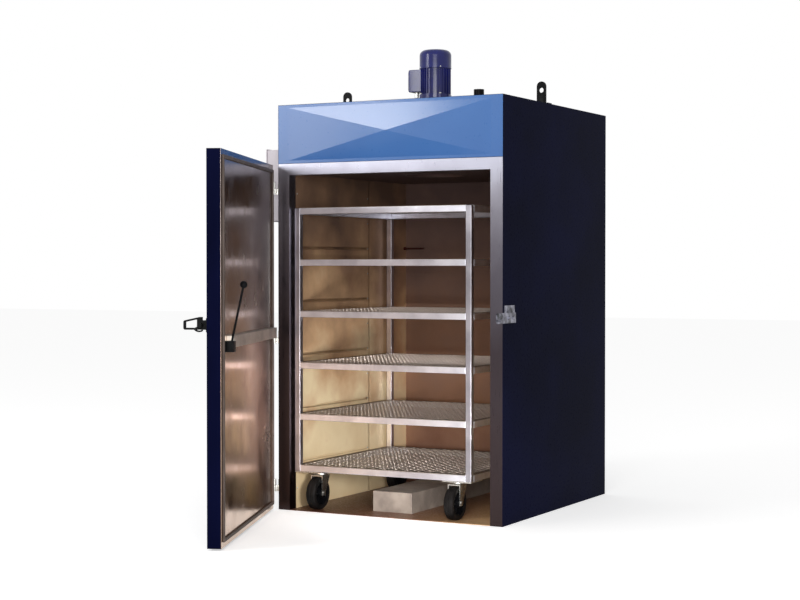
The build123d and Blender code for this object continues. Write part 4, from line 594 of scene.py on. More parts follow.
class Pattern:
    """The Geometry Nodes recipes that the oven's repeated details come from."""

    hole_sides = 12
    weld_dist = 0.00001

    def __init__(self) -> None:
        """Build every recipe."""
        self.rows = {head: self.head_row(head) for head in Head}
        self.ring = self.head_ring(Head.HEX)
        self.sheet = self.perforated_sheet()
        self.beads = self.weld_beads()
        self.ribs = self.rib_ring()
        self.lips = self.slot_lips()

    def head(self, recipe: Recipe, form: Head) -> bpy.types.NodeSocket:
        """Head of one fastener, standing on the local XY plane.

        Args:
            recipe: Tree that it goes into, with inputs for the head's sizes.
            form: The head's form.

        Returns:
            The head's geometry.
        """
        radius, height = recipe.given["Head_Radius"], recipe.given["Head_Height"]
        if form is Head.DOME:
            ball = recipe.out("GeometryNodeMeshIcoSphere", {"Radius": radius, "Subdivisions": 2})
            scale = recipe.vector(X=1.0, Y=1.0, Z=recipe.math("DIVIDE", height, radius))
            return recipe.out("GeometryNodeTransform", {"Geometry": ball, "Scale": scale})
        drum = recipe.out("GeometryNodeMeshCylinder",
                          {"Vertices": form.value, "Radius": radius, "Depth": height})
        rise = recipe.vector(Z=recipe.math("MULTIPLY", height, 0.5))
        return recipe.out("GeometryNodeTransform", {"Geometry": drum, "Translation": rise})

    def head_row(self, form: Head) -> Recipe:
        """Fastener heads in a straight row along local Y from the origin."""
        recipe = Recipe("head_row_" + form.name.lower(), Count="Int", Gap="Float", Head_Radius="Float",
                        Head_Height="Float")
        given = recipe.given
        line = recipe.out("GeometryNodeMeshLine",
                          {"Count": given["Count"], "Offset": recipe.vector(Y=given["Gap"])})
        return recipe.close(recipe.on_points(line, self.head(recipe, form)))

    def head_ring(self, form: Head) -> Recipe:
        """Fastener heads on a circle about local Z."""
        recipe = Recipe("head_ring_" + form.name.lower(), Count="Int", Ring_Radius="Float",
                        Head_Radius="Float", Head_Height="Float")
        given = recipe.given
        circle = recipe.out("GeometryNodeMeshCircle",
                            {"Vertices": given["Count"], "Radius": given["Ring_Radius"]})
        return recipe.close(recipe.on_points(circle, self.head(recipe, form)))

    def perforated_sheet(self) -> Recipe:
        """Sheet cut from the base outline, with staggered rows of holes from front to back."""
        recipe = Recipe("perforated_sheet", Rows="Int", Steps="Int", Pitch="Float", Row_Step="Float",
                        Hole_Radius="Float", Thickness="Float", Corner_X="Float", Corner_Y="Float")
        given, calc, out = recipe.given, recipe.math, recipe.out
        last_step = calc("SUBTRACT", given["Steps"], 1.0)
        size_x = calc("MULTIPLY", calc("SUBTRACT", given["Rows"], 1.0), given["Row_Step"])
        size_y = calc("MULTIPLY", last_step, given["Pitch"])
        grid = out("GeometryNodeMeshGrid", {"Size X": size_x, "Size Y": size_y, "Vertices X": given["Rows"],
                                            "Vertices Y": given["Steps"]})
        index = out("GeometryNodeInputIndex")
        odd = calc("MODULO", calc("FLOOR", calc("DIVIDE", index, given["Steps"])), 2.0)
        marked = out("GeometryNodeStoreNamedAttribute", {"Geometry": grid, "Name": "odd", "Value": odd},
                     data_type="FLOAT")
        at_end = calc("COMPARE", calc("MODULO", index, given["Steps"]), last_step, 0.5)
        fewer = out("GeometryNodeDeleteGeometry",
                    {"Geometry": marked, "Selection": calc("MULTIPLY", odd, at_end)})
        kept = out("GeometryNodeInputNamedAttribute", {"Name": "odd"}, data_type="FLOAT")
        shift = recipe.vector(Y=calc("MULTIPLY", kept, calc("MULTIPLY", given["Pitch"], 0.5)))
        moved = out("GeometryNodeSetPosition", {"Geometry": fewer, "Offset": shift})
        place = recipe.add("ShaderNodeSeparateXYZ", {"Vector": out("GeometryNodeInputPosition")}).outputs
        far_x, far_y = (calc("GREATER_THAN", calc("ABSOLUTE", place[axis]), given["Corner_" + axis])
                        for axis in "XY")
        points = out("GeometryNodeDeleteGeometry",
                     {"Geometry": moved, "Selection": calc("MULTIPLY", far_x, far_y)})
        circle = out("GeometryNodeCurvePrimitiveCircle",
                     {"Resolution": self.hole_sides, "Radius": given["Hole_Radius"]})
        cuts = out("GeometryNodeRealizeInstances", {"Geometry": recipe.on_points(points, circle)})
        outline = out("GeometryNodeMeshToCurve", {"Mesh": given["Geometry"]})
        face = out("GeometryNodeFillCurve", {"Curve": recipe.join(outline, cuts)})
        thick = out("GeometryNodeExtrudeMesh",
                    {"Mesh": face, "Offset Scale": given["Thickness"], "Individual": False}, mode="FACES")
        both = recipe.join(thick, out("GeometryNodeFlipFaces", {"Mesh": face}))
        return recipe.close(out("GeometryNodeMergeByDistance",
                                {"Geometry": both, "Distance": self.weld_dist}))

    def weld_beads(self) -> Recipe:
        """Weld beads round the end of a square tube, in the local XY plane."""
        recipe = Recipe("weld_beads", Side="Float", Count="Int", Bead_Radius="Float")
        given, out = recipe.given, recipe.out
        square = out("GeometryNodeCurvePrimitiveQuadrilateral",
                     {"Width": given["Side"], "Height": given["Side"]})
        steps = out("GeometryNodeResampleCurve", {"Curve": square, "Count": given["Count"]})
        bead = out("GeometryNodeMeshIcoSphere", {"Radius": given["Bead_Radius"], "Subdivisions": 1})
        return recipe.close(recipe.on_points(steps, bead))

    def rib_ring(self) -> Recipe:
        """Flat ribs that stand out like spokes about local Z."""
        recipe = Recipe("rib_ring", Count="Int", Distance="Float", Rib_Size="Vector")
        given, out = recipe.given, recipe.out
        points = out("GeometryNodeMeshLine", {"Count": given["Count"], "Offset": (0.0, 0.0, 0.0)})
        cube = out("GeometryNodeMeshCube", {"Size": given["Rib_Size"]})
        away = recipe.vector(X=given["Distance"])
        rib = out("GeometryNodeTransform", {"Geometry": cube, "Translation": away})
        turned = recipe.math("MULTIPLY", out("GeometryNodeInputIndex"), 2 * math.pi)
        angle = recipe.math("DIVIDE", turned, given["Count"])
        return recipe.close(recipe.on_points(points, rib, Rotation=recipe.vector(Z=angle)))

    def slot_lips(self) -> Recipe:
        """Sloping lips one above the other, one at each air slot."""
        recipe = Recipe("slot_lips", Count="Int", Pitch="Float", Lip_Size="Vector", Slope="Float")
        given, out = recipe.given, recipe.out
        step = recipe.vector(Z=given["Pitch"])
        line = out("GeometryNodeMeshLine", {"Count": given["Count"], "Offset": step})
        cube = out("GeometryNodeMeshCube", {"Size": given["Lip_Size"]})
        return recipe.close(recipe.on_points(line, cube, Rotation=recipe.vector(Y=given["Slope"])))


class Workshop:
    """The loaded frame, and the ways in which pieces are dressed and added to it."""

    merge_dist = 2e-6
    flat_angle = math.radians(0.5)
    bevel_steps = 3

    def __init__(self, frame: dict) -> None:
        """Note each node's body and slot.

        Args:
            frame: What the frame's loader returned.
        """
        self.nodes = frame["nodes"]
        record = frame["record"]
        self.body = {node: body for body, nodes in record["behaviour"]["bodies"].items() for node in nodes}
        self.slot = {part["node"]: part["material_slot"] for part in record["subparts"]}
        self.joints = {joint["name"]: joint for joint in frame["joints"]}
        self.pattern = Pattern()

    def door_swing(self) -> Matrix:
        """Matrix that swings a place on the shut door to where the door stands open at rest."""
        joint = self.joints["door_swing"]
        hinge = Matrix.Translation(joint["pos_m"])
        turn = Matrix.Rotation(-math.radians(joint["range_deg"][0]), 4, Vector(joint["axis"]))
        return hinge @ turn @ hinge.inverted()

    def dress(self, finish: Finish, *nodes: str) -> None:
        """Give CAD nodes their finish.

        Args:
            finish: The finish.
            *nodes: Names of the nodes.
        """
        for name in nodes:
            mesh = self.nodes[name].data
            if not mesh.materials:
                mesh.materials.append(None)
            for slot in self.nodes[name].material_slots:
                slot.material = finish.material()

    def place(self, name: str, mesh: bpy.types.Mesh, finish: Finish, node: str,
              stands_for: Sequence[str] = (), bevel: float = 0.0) -> None:
        """Add a piece that rides with a node's body.

        Args:
            name: The piece's name.
            mesh: Its mesh, already in place.
            finish: Its finish.
            node: CAD node whose body it takes.
            stands_for: CAD nodes that it replaces.
            bevel: Width of its rounded edges.
        """
        mesh.materials.clear()
        mesh.materials.append(finish.material())
        piece = show(bpy.data.objects.new(name, mesh))
        if bevel:
            rounding = piece.modifiers.new("rounded_edges", "BEVEL")
            rounding.width = bevel
            rounding.segments = self.bevel_steps
            rounding.limit_method = "ANGLE"
            rounding.angle_limit = SMOOTH_ANGLE
            rounding.harden_normals = True
        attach(piece, self.body[node])
        if stands_for:
            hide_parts(*stands_for)

    def softened(self, finish: Finish, *nodes: str, bevel: float) -> None:
        """Replace nodes by their own shapes with rounded edges.

        Args:
            finish: Their finish.
            *nodes: Names of the nodes.
            bevel: Radius of the edges.
        """
        for node in nodes:
            work = bmesh.new()
            work.from_mesh(self.nodes[node].data)
            bmesh.ops.remove_doubles(work, verts=work.verts, dist=self.merge_dist)
            bmesh.ops.dissolve_limit(work, angle_limit=self.flat_angle, verts=work.verts, edges=work.edges,
                                     use_dissolve_boundaries=False)
            name = node + "_rounded"
            self.place(name, finished(work, name), finish, node, (node,), bevel)

    def row(self, head: Fastener, count: int = 1, gap: float = 0.0) -> bpy.types.Mesh:
        """Mesh of fastener heads in a row along local Y."""
        return self.pattern.rows[head.form].mesh("row", head.finish, Count=count, Gap=gap, **head.sizes)

    def fasten(self, name: str, node: str, head: Fastener, seats: Sequence[Matrix], count: int = 1,
               gap: float = 0.0) -> None:
        """Set equal rows of fastener heads on a node.

        Args:
            name: The piece's name.
            node: Node that carries them.
            head: Their form and size.
            seats: Where each row starts, with local Z out of the surface and local Y along the row.
            count: Heads in a row.
            gap: Distance from head to head.
        """
        row = self.row(head, count, gap)
        self.place(name, joined(name, [(row, seat) for seat in seats]), head.finish, node)

    def fasten_lid(self, name: str, node: str, head: Fastener, box: tuple[Vector, Vector],
                   margin: float) -> None:
        """Set a screw in each corner of a lid that faces left.

        Args:
            name: The piece's name.
            node: Node that carries them.
            head: Their form and size.
            box: Lowest and highest corner of the lid.
            margin: Distance of the screws from the lid's edges.
        """
        low, high = box
        seats = [facing((low.x, y, low.z + margin), LEFT) for y in inset(low.y, high.y, margin)]
        self.fasten(name, node, head, seats, 2, high.z - low.z - 2 * margin)


@dataclass(frozen=True)
class Lamp:
    """A soft rectangular lamp; its spread is in degrees."""

    name: str
    at: Point
    target: Point
    size: tuple[float, float]
    watts: float
    spread: float = 180.0

    def hang(self) -> None:
        """Hang the lamp and turn it to its target."""
        data = bpy.data.lights.new(self.name, "AREA")
        data.spread = math.radians(self.spread)
        data.shape = "RECTANGLE"
        data.size, data.size_y = self.size
        data.energy = self.watts
        lamp = show(bpy.data.objects.new(self.name, data))
        lamp.location = self.at
        aim = Vector(self.target) - Vector(self.at)
        lamp.rotation_euler = aim.to_track_quat("-Z", "Y").to_euler()
        lamp.visible_camera = False


@dataclass
class Studio:
    """Pale floor, plain soft light and the camera where the photograph was taken from."""

    camera_at: Point = (3.849, -7.726, 1.202)
    camera_yaw: float = 28.09
    camera_pitch: float = -1.12
    lens_mm: float = 75.83
    sensor_mm: float = 36.0
    sight: float = 200.0
    floor_size: float = 60.0
    floor_drop: float = 0.0005
    floor_colour: str = "#f6f6f6"
    floor_glow: float = 0.45
    ambient: float = 0.55
    lamps: tuple[Lamp, ...] = (
        Lamp("key", (-3.5, -5.9, 3.6), (0.0, -0.65, 1.86), (1.7, 1.0), 80.0),
        Lamp("side", (-4.2, -5.3, 2.45), (-0.3, -0.65, 1.86), (1.7, 1.2), 30.0),
        Lamp("spark", (-2.85, -5.5, 2.75), (-0.1, -0.13, 2.12), (0.5, 0.6), 11.0),
        Lamp("low", (0.95, -2.0, 0.45), (-0.55, 0.15, 0.38), (0.3, 0.25), 5.5, 55.0),
        Lamp("fill", (3.6, -8.6, 1.7), (-0.4, -0.2, 0.7), (4.2, 3.2), 420.0),
    )

    def build(self) -> None:
        """Make the camera, the floor, the world and the lamps."""
        self.make_camera()
        self.make_floor()
        self.make_world()
        for lamp in self.lamps:
            lamp.hang()
        bpy.context.scene.view_settings.view_transform = "Standard"

    def make_camera(self) -> None:
        """Set up the camera."""
        data = bpy.data.cameras.new("camera")
        data.lens = self.lens_mm
        data.sensor_width = self.sensor_mm
        data.sensor_fit = "HORIZONTAL"
        data.clip_end = self.sight
        camera = show(bpy.data.objects.new("camera", data))
        camera.location = self.camera_at
        camera.rotation_euler = (math.radians(90 + self.camera_pitch), 0.0, math.radians(self.camera_yaw))
        bpy.context.scene.camera = camera

    @staticmethod
    def seen_by(tree: Tree, *kinds: str) -> bpy.types.NodeSocket:
        """One for camera rays and for rays of the named kinds, and nought for the rest."""
        path = tree.add("ShaderNodeLightPath").outputs
        seen = path["Is Camera Ray"]
        for kind in kinds:
            seen = tree.math("MAXIMUM", seen, path["Is " + kind + " Ray"])
        return seen

    def make_floor(self) -> None:
        """Lay a pale floor that keeps the shadow and fades to white."""
        half = self.floor_size / 2
        work = bmesh.new()
        work.faces.new([work.verts.new((x * half, y * half, -self.floor_drop))
                        for x, y in ((-1, -1), (1, -1), (1, 1), (-1, 1))])
        mesh = finished(work, "studio_floor")
        material = bpy.data.materials.new("studio_floor")
        tree = Tree.of(material)
        matt = tree.out("ShaderNodeBsdfDiffuse", {"Color": linear(self.floor_colour)})
        glow = tree.out("ShaderNodeEmission", {"Color": linear("#ffffff"), "Strength": self.floor_glow})
        none = tree.out("ShaderNodeEmission", {"Strength": 0.0})
        lift = tree.out("ShaderNodeMixShader", {"Fac": self.seen_by(tree, "Glossy"), 1: none, 2: glow})
        both = tree.out("ShaderNodeAddShader", {0: matt, 1: lift})
        tree.add("ShaderNodeOutputMaterial", {"Surface": both})
        mesh.materials.append(material)
        show(bpy.data.objects.new("studio_floor", mesh))

    def make_world(self) -> None:
        """Light the scene evenly and show white behind it."""
        world = bpy.data.worlds.new("studio")
        bpy.context.scene.world = world
        tree = Tree.of(world)
        soft, white = (tree.out("ShaderNodeBackground", {"Color": linear("#ffffff"), "Strength": strength})
                       for strength in (self.ambient, 1.0))
        clear = self.seen_by(tree, "Glossy", "Transmission")
        mixed = tree.out("ShaderNodeMixShader", {"Fac": clear, 1: soft, 2: white})
        tree.add("ShaderNodeOutputWorld", {"Surface": mixed})


@dataclass
class Cabinet:
    """Painted shell, door frame and roof fittings that belong to it."""

    shop: Workshop
    rivet: Fastener = Fastener(Head.DOME, 0.004, 0.0015, Coat.NAVY_ENAMEL_PAINTED_SHADE)
    rivet_pitch: float = 0.155
    rivet_inset: float = 0.012

    def build(self) -> None:
        """Dress the shell and add its rivets."""
        shop = self.shop
        shop.dress(Coat.NAVY_ENAMEL_PAINTED_SHADE, "side_panel_left", "side_panel_right", "back_panel", "roof_panel")
        shop.dress(Coat.BLUE_ENAMEL_PAINTED_LIGHT, "header_panel")
        shop.dress(Coat.GALVANISED, "base_frame")
        shop.dress(Coat.FRAME_STAINLESS_PAINTED_SHADE, "door_frame")
        shop.dress(Coat.MINERAL_WOOL, "insulation_wool", "door_insulation")
        shop.softened(Coat.BLACK_ENAMEL, "lifting_lugs", bevel=0.0012)
        shop.softened(Coat.BLUED_STEEL, "striker", bevel=0.0008)
        self.add_rivets()

    def add_rivets(self) -> None:
        """Pop rivets down the edges of the back sheet and along the sides of the roof sheet."""
        shop, pitch = self.shop, self.rivet_pitch
        low, high = corners("back_panel")
        roof_low, roof_high = corners("roof_panel")
        column = shop.row(self.rivet, int((high.z - low.z) // pitch), pitch)
        run = shop.row(self.rivet, int((roof_high.y - roof_low.y) // pitch), pitch)
        parts = [(column, facing((x, high.y, low.z + pitch / 2), BACK))
                 for x in inset(low.x, high.x, self.rivet_inset)]
        parts += [(run, Matrix.Translation((x, roof_low.y + pitch / 2, roof_high.z)))
                  for x in inset(roof_low.x, roof_high.x, self.rivet_inset)]
        shop.place("shell_rivets", joined("shell_rivets", parts), self.rivet.finish, "back_panel")


@dataclass
class Chamber:
    """Lining tinted by heat and by painted light and shade, air slots, guide box, heater and probe."""

    shop: Workshop
    slot_count: int = 5
    slot_bottom: float = 0.235
    slot_pitch: float = 0.266
    slot_height: float = 0.014
    slot_front: float = 0.032
    slot_back: float = 0.027
    panel_depth: float = 0.745
    lip_depth: float = 0.006
    lip_sheet: float = 0.0015
    lip_slope: float = 35.0
    lip_reach: float = 0.35
    screw: Fastener = Fastener(Head.DOME, 0.0045, 0.00225)
    screw_count: int = 12
    screw_bottom: float = 0.1
    screw_columns: tuple[float, float] = (0.014, 0.73)

    def build(self) -> None:
        """Dress the lining and add the slots' lips and the wall screws."""
        shop = self.shop
        shop.dress(Coat.BAKED_WALL_PAINTED_LIGHT, "duct_wall_left", "duct_wall_right", "outer_liners")
        shop.dress(Coat.BAKED_BACK_PAINTED_SHADE, "back_liner", "false_ceiling")
        shop.dress(Coat.BAKED_FLOOR_PAINTED_LIGHT, "floor_plate")
        shop.dress(Coat.BLACK_ENAMEL, "heater_elements")
        shop.dress(Coat.PROBE_SHEATH, "temperature_probe")
        shop.softened(Coat.GUIDE_STAINLESS, "guide_box", bevel=0.0015)
        for side, name in ((1, "duct_wall_left"), (-1, "duct_wall_right")):
            low, high = corners(name)
            face = high.x if side > 0 else low.x
            self.add_lips(side, name, Vector((face, low.y, low.z)))
            self.add_screws(side, name, Vector((face, low.y, low.z)))

    def add_lips(self, side: int, name: str, corner: Vector) -> None:
        """Folded lips under the air slots of one wall.

        Args:
            side: 1 where the wall's chamber face looks right, -1 where it looks left.
            name: The wall's node.
            corner: Lowest front corner of that face.
        """
        front, back = corner.y + self.slot_front, corner.y + self.panel_depth - self.slot_back
        lips = self.shop.pattern.lips.mesh(
            "lips", Coat.BAKED_WALL_PAINTED_LIGHT, Count=self.slot_count, Pitch=self.slot_pitch,
            Lip_Size=(self.lip_depth, back - front, self.lip_sheet),
            Slope=side * math.radians(self.lip_slope))
        spot = (corner.x + side * self.lip_depth * self.lip_reach, (front + back) / 2,
                self.slot_bottom - self.slot_height / 2)
        mesh = joined(name + "_lips", [(lips, Matrix.Translation(spot))])
        self.shop.place(name + "_lips", mesh, Coat.BAKED_WALL_PAINTED_LIGHT, name)

    def add_screws(self, side: int, name: str, corner: Vector) -> None:
        """Pan-head screws down both edges of the slotted panel.

        Args:
            side: 1 where the wall's chamber face looks right, -1 where it looks left.
            name: The wall's node.
            corner: Lowest front corner of that face.
        """
        seats = [facing(corner + Vector((0.0, y, self.screw_bottom)), (side, 0, 0))
                 for y in self.screw_columns]
        self.shop.fasten(name + "_screws", name, self.screw, seats, self.screw_count, self.slot_pitch / 2)


@dataclass
class FanMotor:
    """Motor on the roof with its cowl, terminal box, cable and the rotor below."""

    shop: Workshop
    bolt: Fastener = Fastener(Head.HEX, 0.0065, 0.005)
    foot_bolts: int = 8
    foot_ring: float = 0.0865
    foot_thickness: float = 0.005
    lug_bolts: int = 4
    lug_ring: float = 0.074
    shield_top: float = 2.070
    cowl_screw: Fastener = Fastener(Head.DOME, 0.0035, 0.002)
    cowl_screw_turns: tuple[float, ...] = (45, 135, 225, 315)
    cowl_screw_rise: float = 0.006
    hem: Profile = ((0.0, -0.0015), (0.0012, -0.001), (0.0012, 0.001), (0.0, 0.0015))
    hem_rise: float = 0.002
    hem_steps: int = 72
    lid_screw: Fastener = Fastener(Head.ROUND, 0.0035, 0.002)
    lid_screw_margin: float = 0.008
    lid_margin: float = 0.010
    lid_rise: float = 0.004
    lid_root: float = 0.0015
    cable_radius: float = 0.005
    cable_length: float = 0.2556
    cable_route: tuple[Point, ...] = ((-0.1055, -0.135, 2.060), (-0.1055, -0.135, 2.006),
                                      (-0.2135, -0.135, 2.006), (-0.3275, -0.135, 2.006))

    def build(self) -> None:
        """Dress the air system and add its small parts."""
        shop = self.shop
        shop.dress(Coat.MOTOR_ENAMEL, "motor_mount", "motor_housing", "fan_cowl")
        shop.dress(Coat.GALVANISED, "impeller")
        shop.dress(Coat.BLACK_ABS, "cooling_fan")
        shop.dress(Coat.GROUND_SHAFT, "fan_shaft")
        shop.softened(Coat.ZINC, "cable_fittings", bevel=0.001)
        self.add_terminal_box()
        low, high = corners("motor_mount")
        axis = (low + high) / 2
        foot_top = Matrix.Translation((axis.x, axis.y, low.z + self.foot_thickness))
        self.add_bolts("motor_foot_bolts", "motor_mount", self.foot_bolts, self.foot_ring, foot_top)
        lugs = Matrix.Translation((axis.x, axis.y, self.shield_top)) @ Matrix.Rotation(math.pi / 4, 4, "Z")
        self.add_bolts("motor_lug_bolts", "motor_housing", self.lug_bolts, self.lug_ring, lugs)
        self.trim_cowl(axis)
        self.add_cable()

    def add_terminal_box(self) -> None:
        """Rounded terminal box with a screwed lid on its outer face."""
        shop = self.shop
        shop.softened(Coat.MOTOR_ENAMEL, "terminal_box", bevel=0.003)
        low, high = corners("terminal_box")
        margin = Vector((0.0, self.lid_margin, self.lid_margin))
        lid_low = low + margin - Vector((self.lid_rise, 0.0, 0.0))
        lid_high = Vector((low.x + self.lid_root, high.y, high.z)) - margin
        lid = slab("terminal_lid", lid_low, lid_high)
        shop.place("terminal_lid", lid, Coat.MOTOR_ENAMEL, "terminal_box", bevel=0.0015)
        shop.fasten_lid("terminal_lid_screws", "terminal_box", self.lid_screw, (lid_low, lid_high),
                        self.lid_screw_margin)

    def add_bolts(self, name: str, node: str, count: int, radius: float, seat: Matrix) -> None:
        """Bolts on a circle round the motor's axis.

        Args:
            name: The piece's name.
            node: Node that carries them.
            count: Number of bolts.
            radius: The circle's radius.
            seat: Where the circle lies.
        """
        head = self.bolt
        ring = self.shop.pattern.ring.mesh("ring", head.finish, Count=count, Ring_Radius=radius, **head.sizes)
        self.shop.place(name, joined(name, [(ring, seat)]), head.finish, node)

    def trim_cowl(self, axis: Vector) -> None:
        """Screws and a rolled hem at the lower edge of the cowl.

        Args:
            axis: A point on the motor's axis.
        """
        low, high = corners("fan_cowl")
        radius = (high.x - low.x) / 2
        seats = []
        for turn in self.cowl_screw_turns:
            out = Vector((math.cos(math.radians(turn)), math.sin(math.radians(turn)), 0.0))
            seats.append(facing(Vector((axis.x, axis.y, low.z + self.cowl_screw_rise)) + out * radius, out))
        self.shop.fasten("cowl_screws", "fan_cowl", self.cowl_screw, seats)
        place = Matrix.Translation((axis.x, axis.y, low.z + self.hem_rise))
        hem = lathe("cowl_hem", widened(self.hem, radius), place, self.hem_steps)
        self.shop.place("cowl_hem", hem, Coat.MOTOR_ENAMEL, "fan_cowl")

    def add_cable(self) -> None:
        """Cable from the terminal box's gland, down and along the roof to the junction box."""
        data = bpy.data.curves.new("motor_lead", "CURVE")
        data.dimensions = "3D"
        data.bevel_depth = self.cable_radius
        data.bevel_resolution = 5
        data.resolution_u = 16
        line = data.splines.new("NURBS")
        line.points.add(len(self.cable_route) - 1)
        for point, spot in zip(line.points, self.cable_route):
            point.co = (*spot, 1.0)
        line.order_u = 3
        line.use_endpoint_u = True
        data.materials.append(Coat.CABLE_SHEATH.material())
        lead = show(bpy.data.objects.new("motor_lead", data))
        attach(lead, self.shop.body["motor_cable"])
        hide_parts("motor_cable")
        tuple(self.cable_route[0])


@dataclass
class RoofVent:
    """Vent pipe with its turning cap."""

    shop: Workshop

    def build(self) -> None:
        """Dress the vent and its cap."""
        self.shop.dress(Coat.GALVANISED, "vent_pipe")
        self.shop.softened(Coat.BLACK_ENAMEL, "vent_cap", bevel=0.0015)


@dataclass
class Door:
    """Insulated door with its polished inner face, seal, hinges, push bar and inside release."""

    shop: Workshop
    hinge_length: float = 0.06
    hinge_pitch: float = 0.735
    hinge_count: int = 3
    leaf_thickness: float = 0.005
    leaf_width: float = 0.044
    door_leaf_back: float = -0.672
    screw: Fastener = Fastener(Head.DOME, 0.0042, 0.0018)
    screw_gap: float = 0.036

    def build(self) -> None:
        """Dress the door and add its small parts."""
        shop = self.shop
        shop.softened(Coat.NAVY_ENAMEL_PAINTED_SHADE, "door_outer_skin", bevel=0.0012)
        shop.dress(Coat.POLISHED_STAINLESS_PAINTED_REFLECTION, "door_inner_skin")
        shop.softened(Coat.SILICONE, "door_gasket", bevel=0.0035)
        shop.softened(Coat.MILL_STAINLESS, "push_bar", bevel=0.0015)
        shop.softened(Coat.BLACK_ENAMEL, "release_box", bevel=0.0012)
        shop.dress(Coat.BLACK_ENAMEL, "release_lever")
        shop.softened(Coat.ZINC, "door_hinges", "cabinet_hinges", bevel=0.001)
        self.add_hinge_screws()

    def add_hinge_screws(self) -> None:
        """Two screws in every leaf of the hinges, on the cabinet and on the door's edge."""
        low, high = corners("cabinet_hinges")
        face = corners("side_panel_left")[0].x - self.leaf_thickness
        first = low.z + (self.hinge_length - self.screw_gap) / 2
        for node, back, swing in (("cabinet_hinges", high.y, Matrix()),
                                  ("door_hinges", self.door_leaf_back, self.shop.door_swing())):
            y = back - self.leaf_width / 2
            seats = [swing @ facing((face, y, first + self.hinge_pitch * place), LEFT)
                     for place in range(self.hinge_count)]
            self.shop.fasten(node + "_screws", node, self.screw, seats, 2, self.screw_gap)


@dataclass
class Latch:
    """Latch base and lever on the door's outer face."""

    shop: Workshop
    face: float = -0.726
    middle: float = 0.574
    screw: Fastener = Fastener(Head.DOME, 0.0034, 0.0015)
    screw_gap: tuple[float, float] = (0.048, 0.05)

    def build(self) -> None:
        """Round the castings' edges and screw the base to the door."""
        self.shop.softened(Coat.BLACK_ENAMEL, "latch_body", bevel=0.0015)
        self.shop.softened(Coat.BLACK_ENAMEL, "latch_lever", bevel=0.0022)
        self.add_base_screws()

    def add_base_screws(self) -> None:
        """One screw in each corner of the base, above and below its cheeks."""
        low, high = corners("latch_body")
        wide, tall = self.screw_gap
        swing, first = self.shop.door_swing(), (low.z + high.z - tall) / 2
        seats = [swing @ facing((self.middle + side * wide / 2, self.face, first), FORWARD)
                 for side in (-1, 1)]
        self.shop.fasten("latch_screws", "latch_body", self.screw, seats, 2, tall)


@dataclass
class ControlBox:
    """Control box on the left side with its lid, display, knob and buttons.

    Each bar of a digit is given by its place, as shares of the digit's width and height, and by whether it
    lies flat.
    """

    shop: Workshop
    screw: Fastener = Fastener(Head.ROUND, 0.004, 0.002)
    screw_margin: float = 0.014
    collar: Profile = ((0.0006, 0.0), (0.005, 0.0), (0.0045, 0.004), (0.003, 0.0055), (0.0006, 0.0055))
    window_depth: float = 0.002
    window_margin: float = 0.011
    window_bottom: float = 0.044
    layer: float = 0.0004
    digit: tuple[float, float] = (0.013, 0.024)
    digit_start: float = 1.7
    digit_step: float = 1.6
    stroke: float = 0.0028
    shown: str = "105"
    bars: ClassVar = {"a": (0.0, 1.0, True), "b": (1.0, 0.5, False), "c": (1.0, 0.0, False),
                      "d": (0.0, 0.0, True), "e": (0.0, 0.0, False), "f": (0.0, 0.5, False),
                      "g": (0.0, 0.5, True)}
    lit: ClassVar = {"0": "abcdef", "1": "bc", "5": "afgcd"}

    def build(self) -> None:
        """Dress the box and add the lid's details."""
        shop = self.shop
        shop.softened(Coat.GREY_ENAMEL, "control_box", bevel=0.0012)
        shop.softened(Coat.GREY_ENAMEL, "control_lid", bevel=0.0018)
        shop.softened(Coat.BLACK_ABS, "controller", bevel=0.0015)
        shop.softened(Coat.RED_ABS, "isolator_knob", bevel=0.0015)
        shop.dress(Coat.GREEN_ABS, "start_button")
        shop.dress(Coat.RED_ABS, "stop_button")
        shop.fasten_lid("control_lid_screws", "control_lid", self.screw, corners("control_lid"),
                        self.screw_margin)
        self.add_collars()
        self.add_display()

    def add_collars(self) -> None:
        """Collars round the two buttons."""
        face = corners("control_lid")[0].x
        for name in ("start_button", "stop_button"):
            low, high = corners(name)
            seat = facing((face, (low.y + high.y) / 2, (low.z + high.z) / 2), LEFT)
            collar = lathe(name + "_collar", widened(self.collar, (high.z - low.z) / 2), seat)
            self.shop.place(name + "_collar", collar, Coat.ZINC, "control_lid")

    def add_display(self) -> None:
        """Dark window with lit seven-segment digits."""
        low, high = corners("controller")
        face = low.x + self.window_depth
        bottom, top = low.z + self.window_bottom, high.z - self.window_margin
        right, left = inset(low.y, high.y, self.window_margin)
        window = slab("display_window", (face - self.layer, right, bottom), (face + self.layer, left, top))
        self.shop.place("display_window", window, Coat.DARK_WINDOW, "controller")
        wide, tall = self.digit
        parts = []
        for place, sign in enumerate(self.shown):
            origin = (low.y + high.y) / 2 + wide * (self.digit_start - self.digit_step * place)
            for segment in self.lit[sign]:
                across, up, flat = self.bars[segment]
                size_y, size_z = (wide, self.stroke) if flat else (self.stroke, tall / 2)
                y = origin - across * wide + self.stroke / 2
                z = (bottom + top - tall - self.stroke) / 2 + up * tall
                bar = slab("segment", (face - 2 * self.layer, y - size_y, z),
                           (face - self.layer, y, z + size_z))
                parts.append((bar, Matrix()))
        self.shop.place("display_digits", joined("display_digits", parts), Coat.RED_DIGIT, "controller")


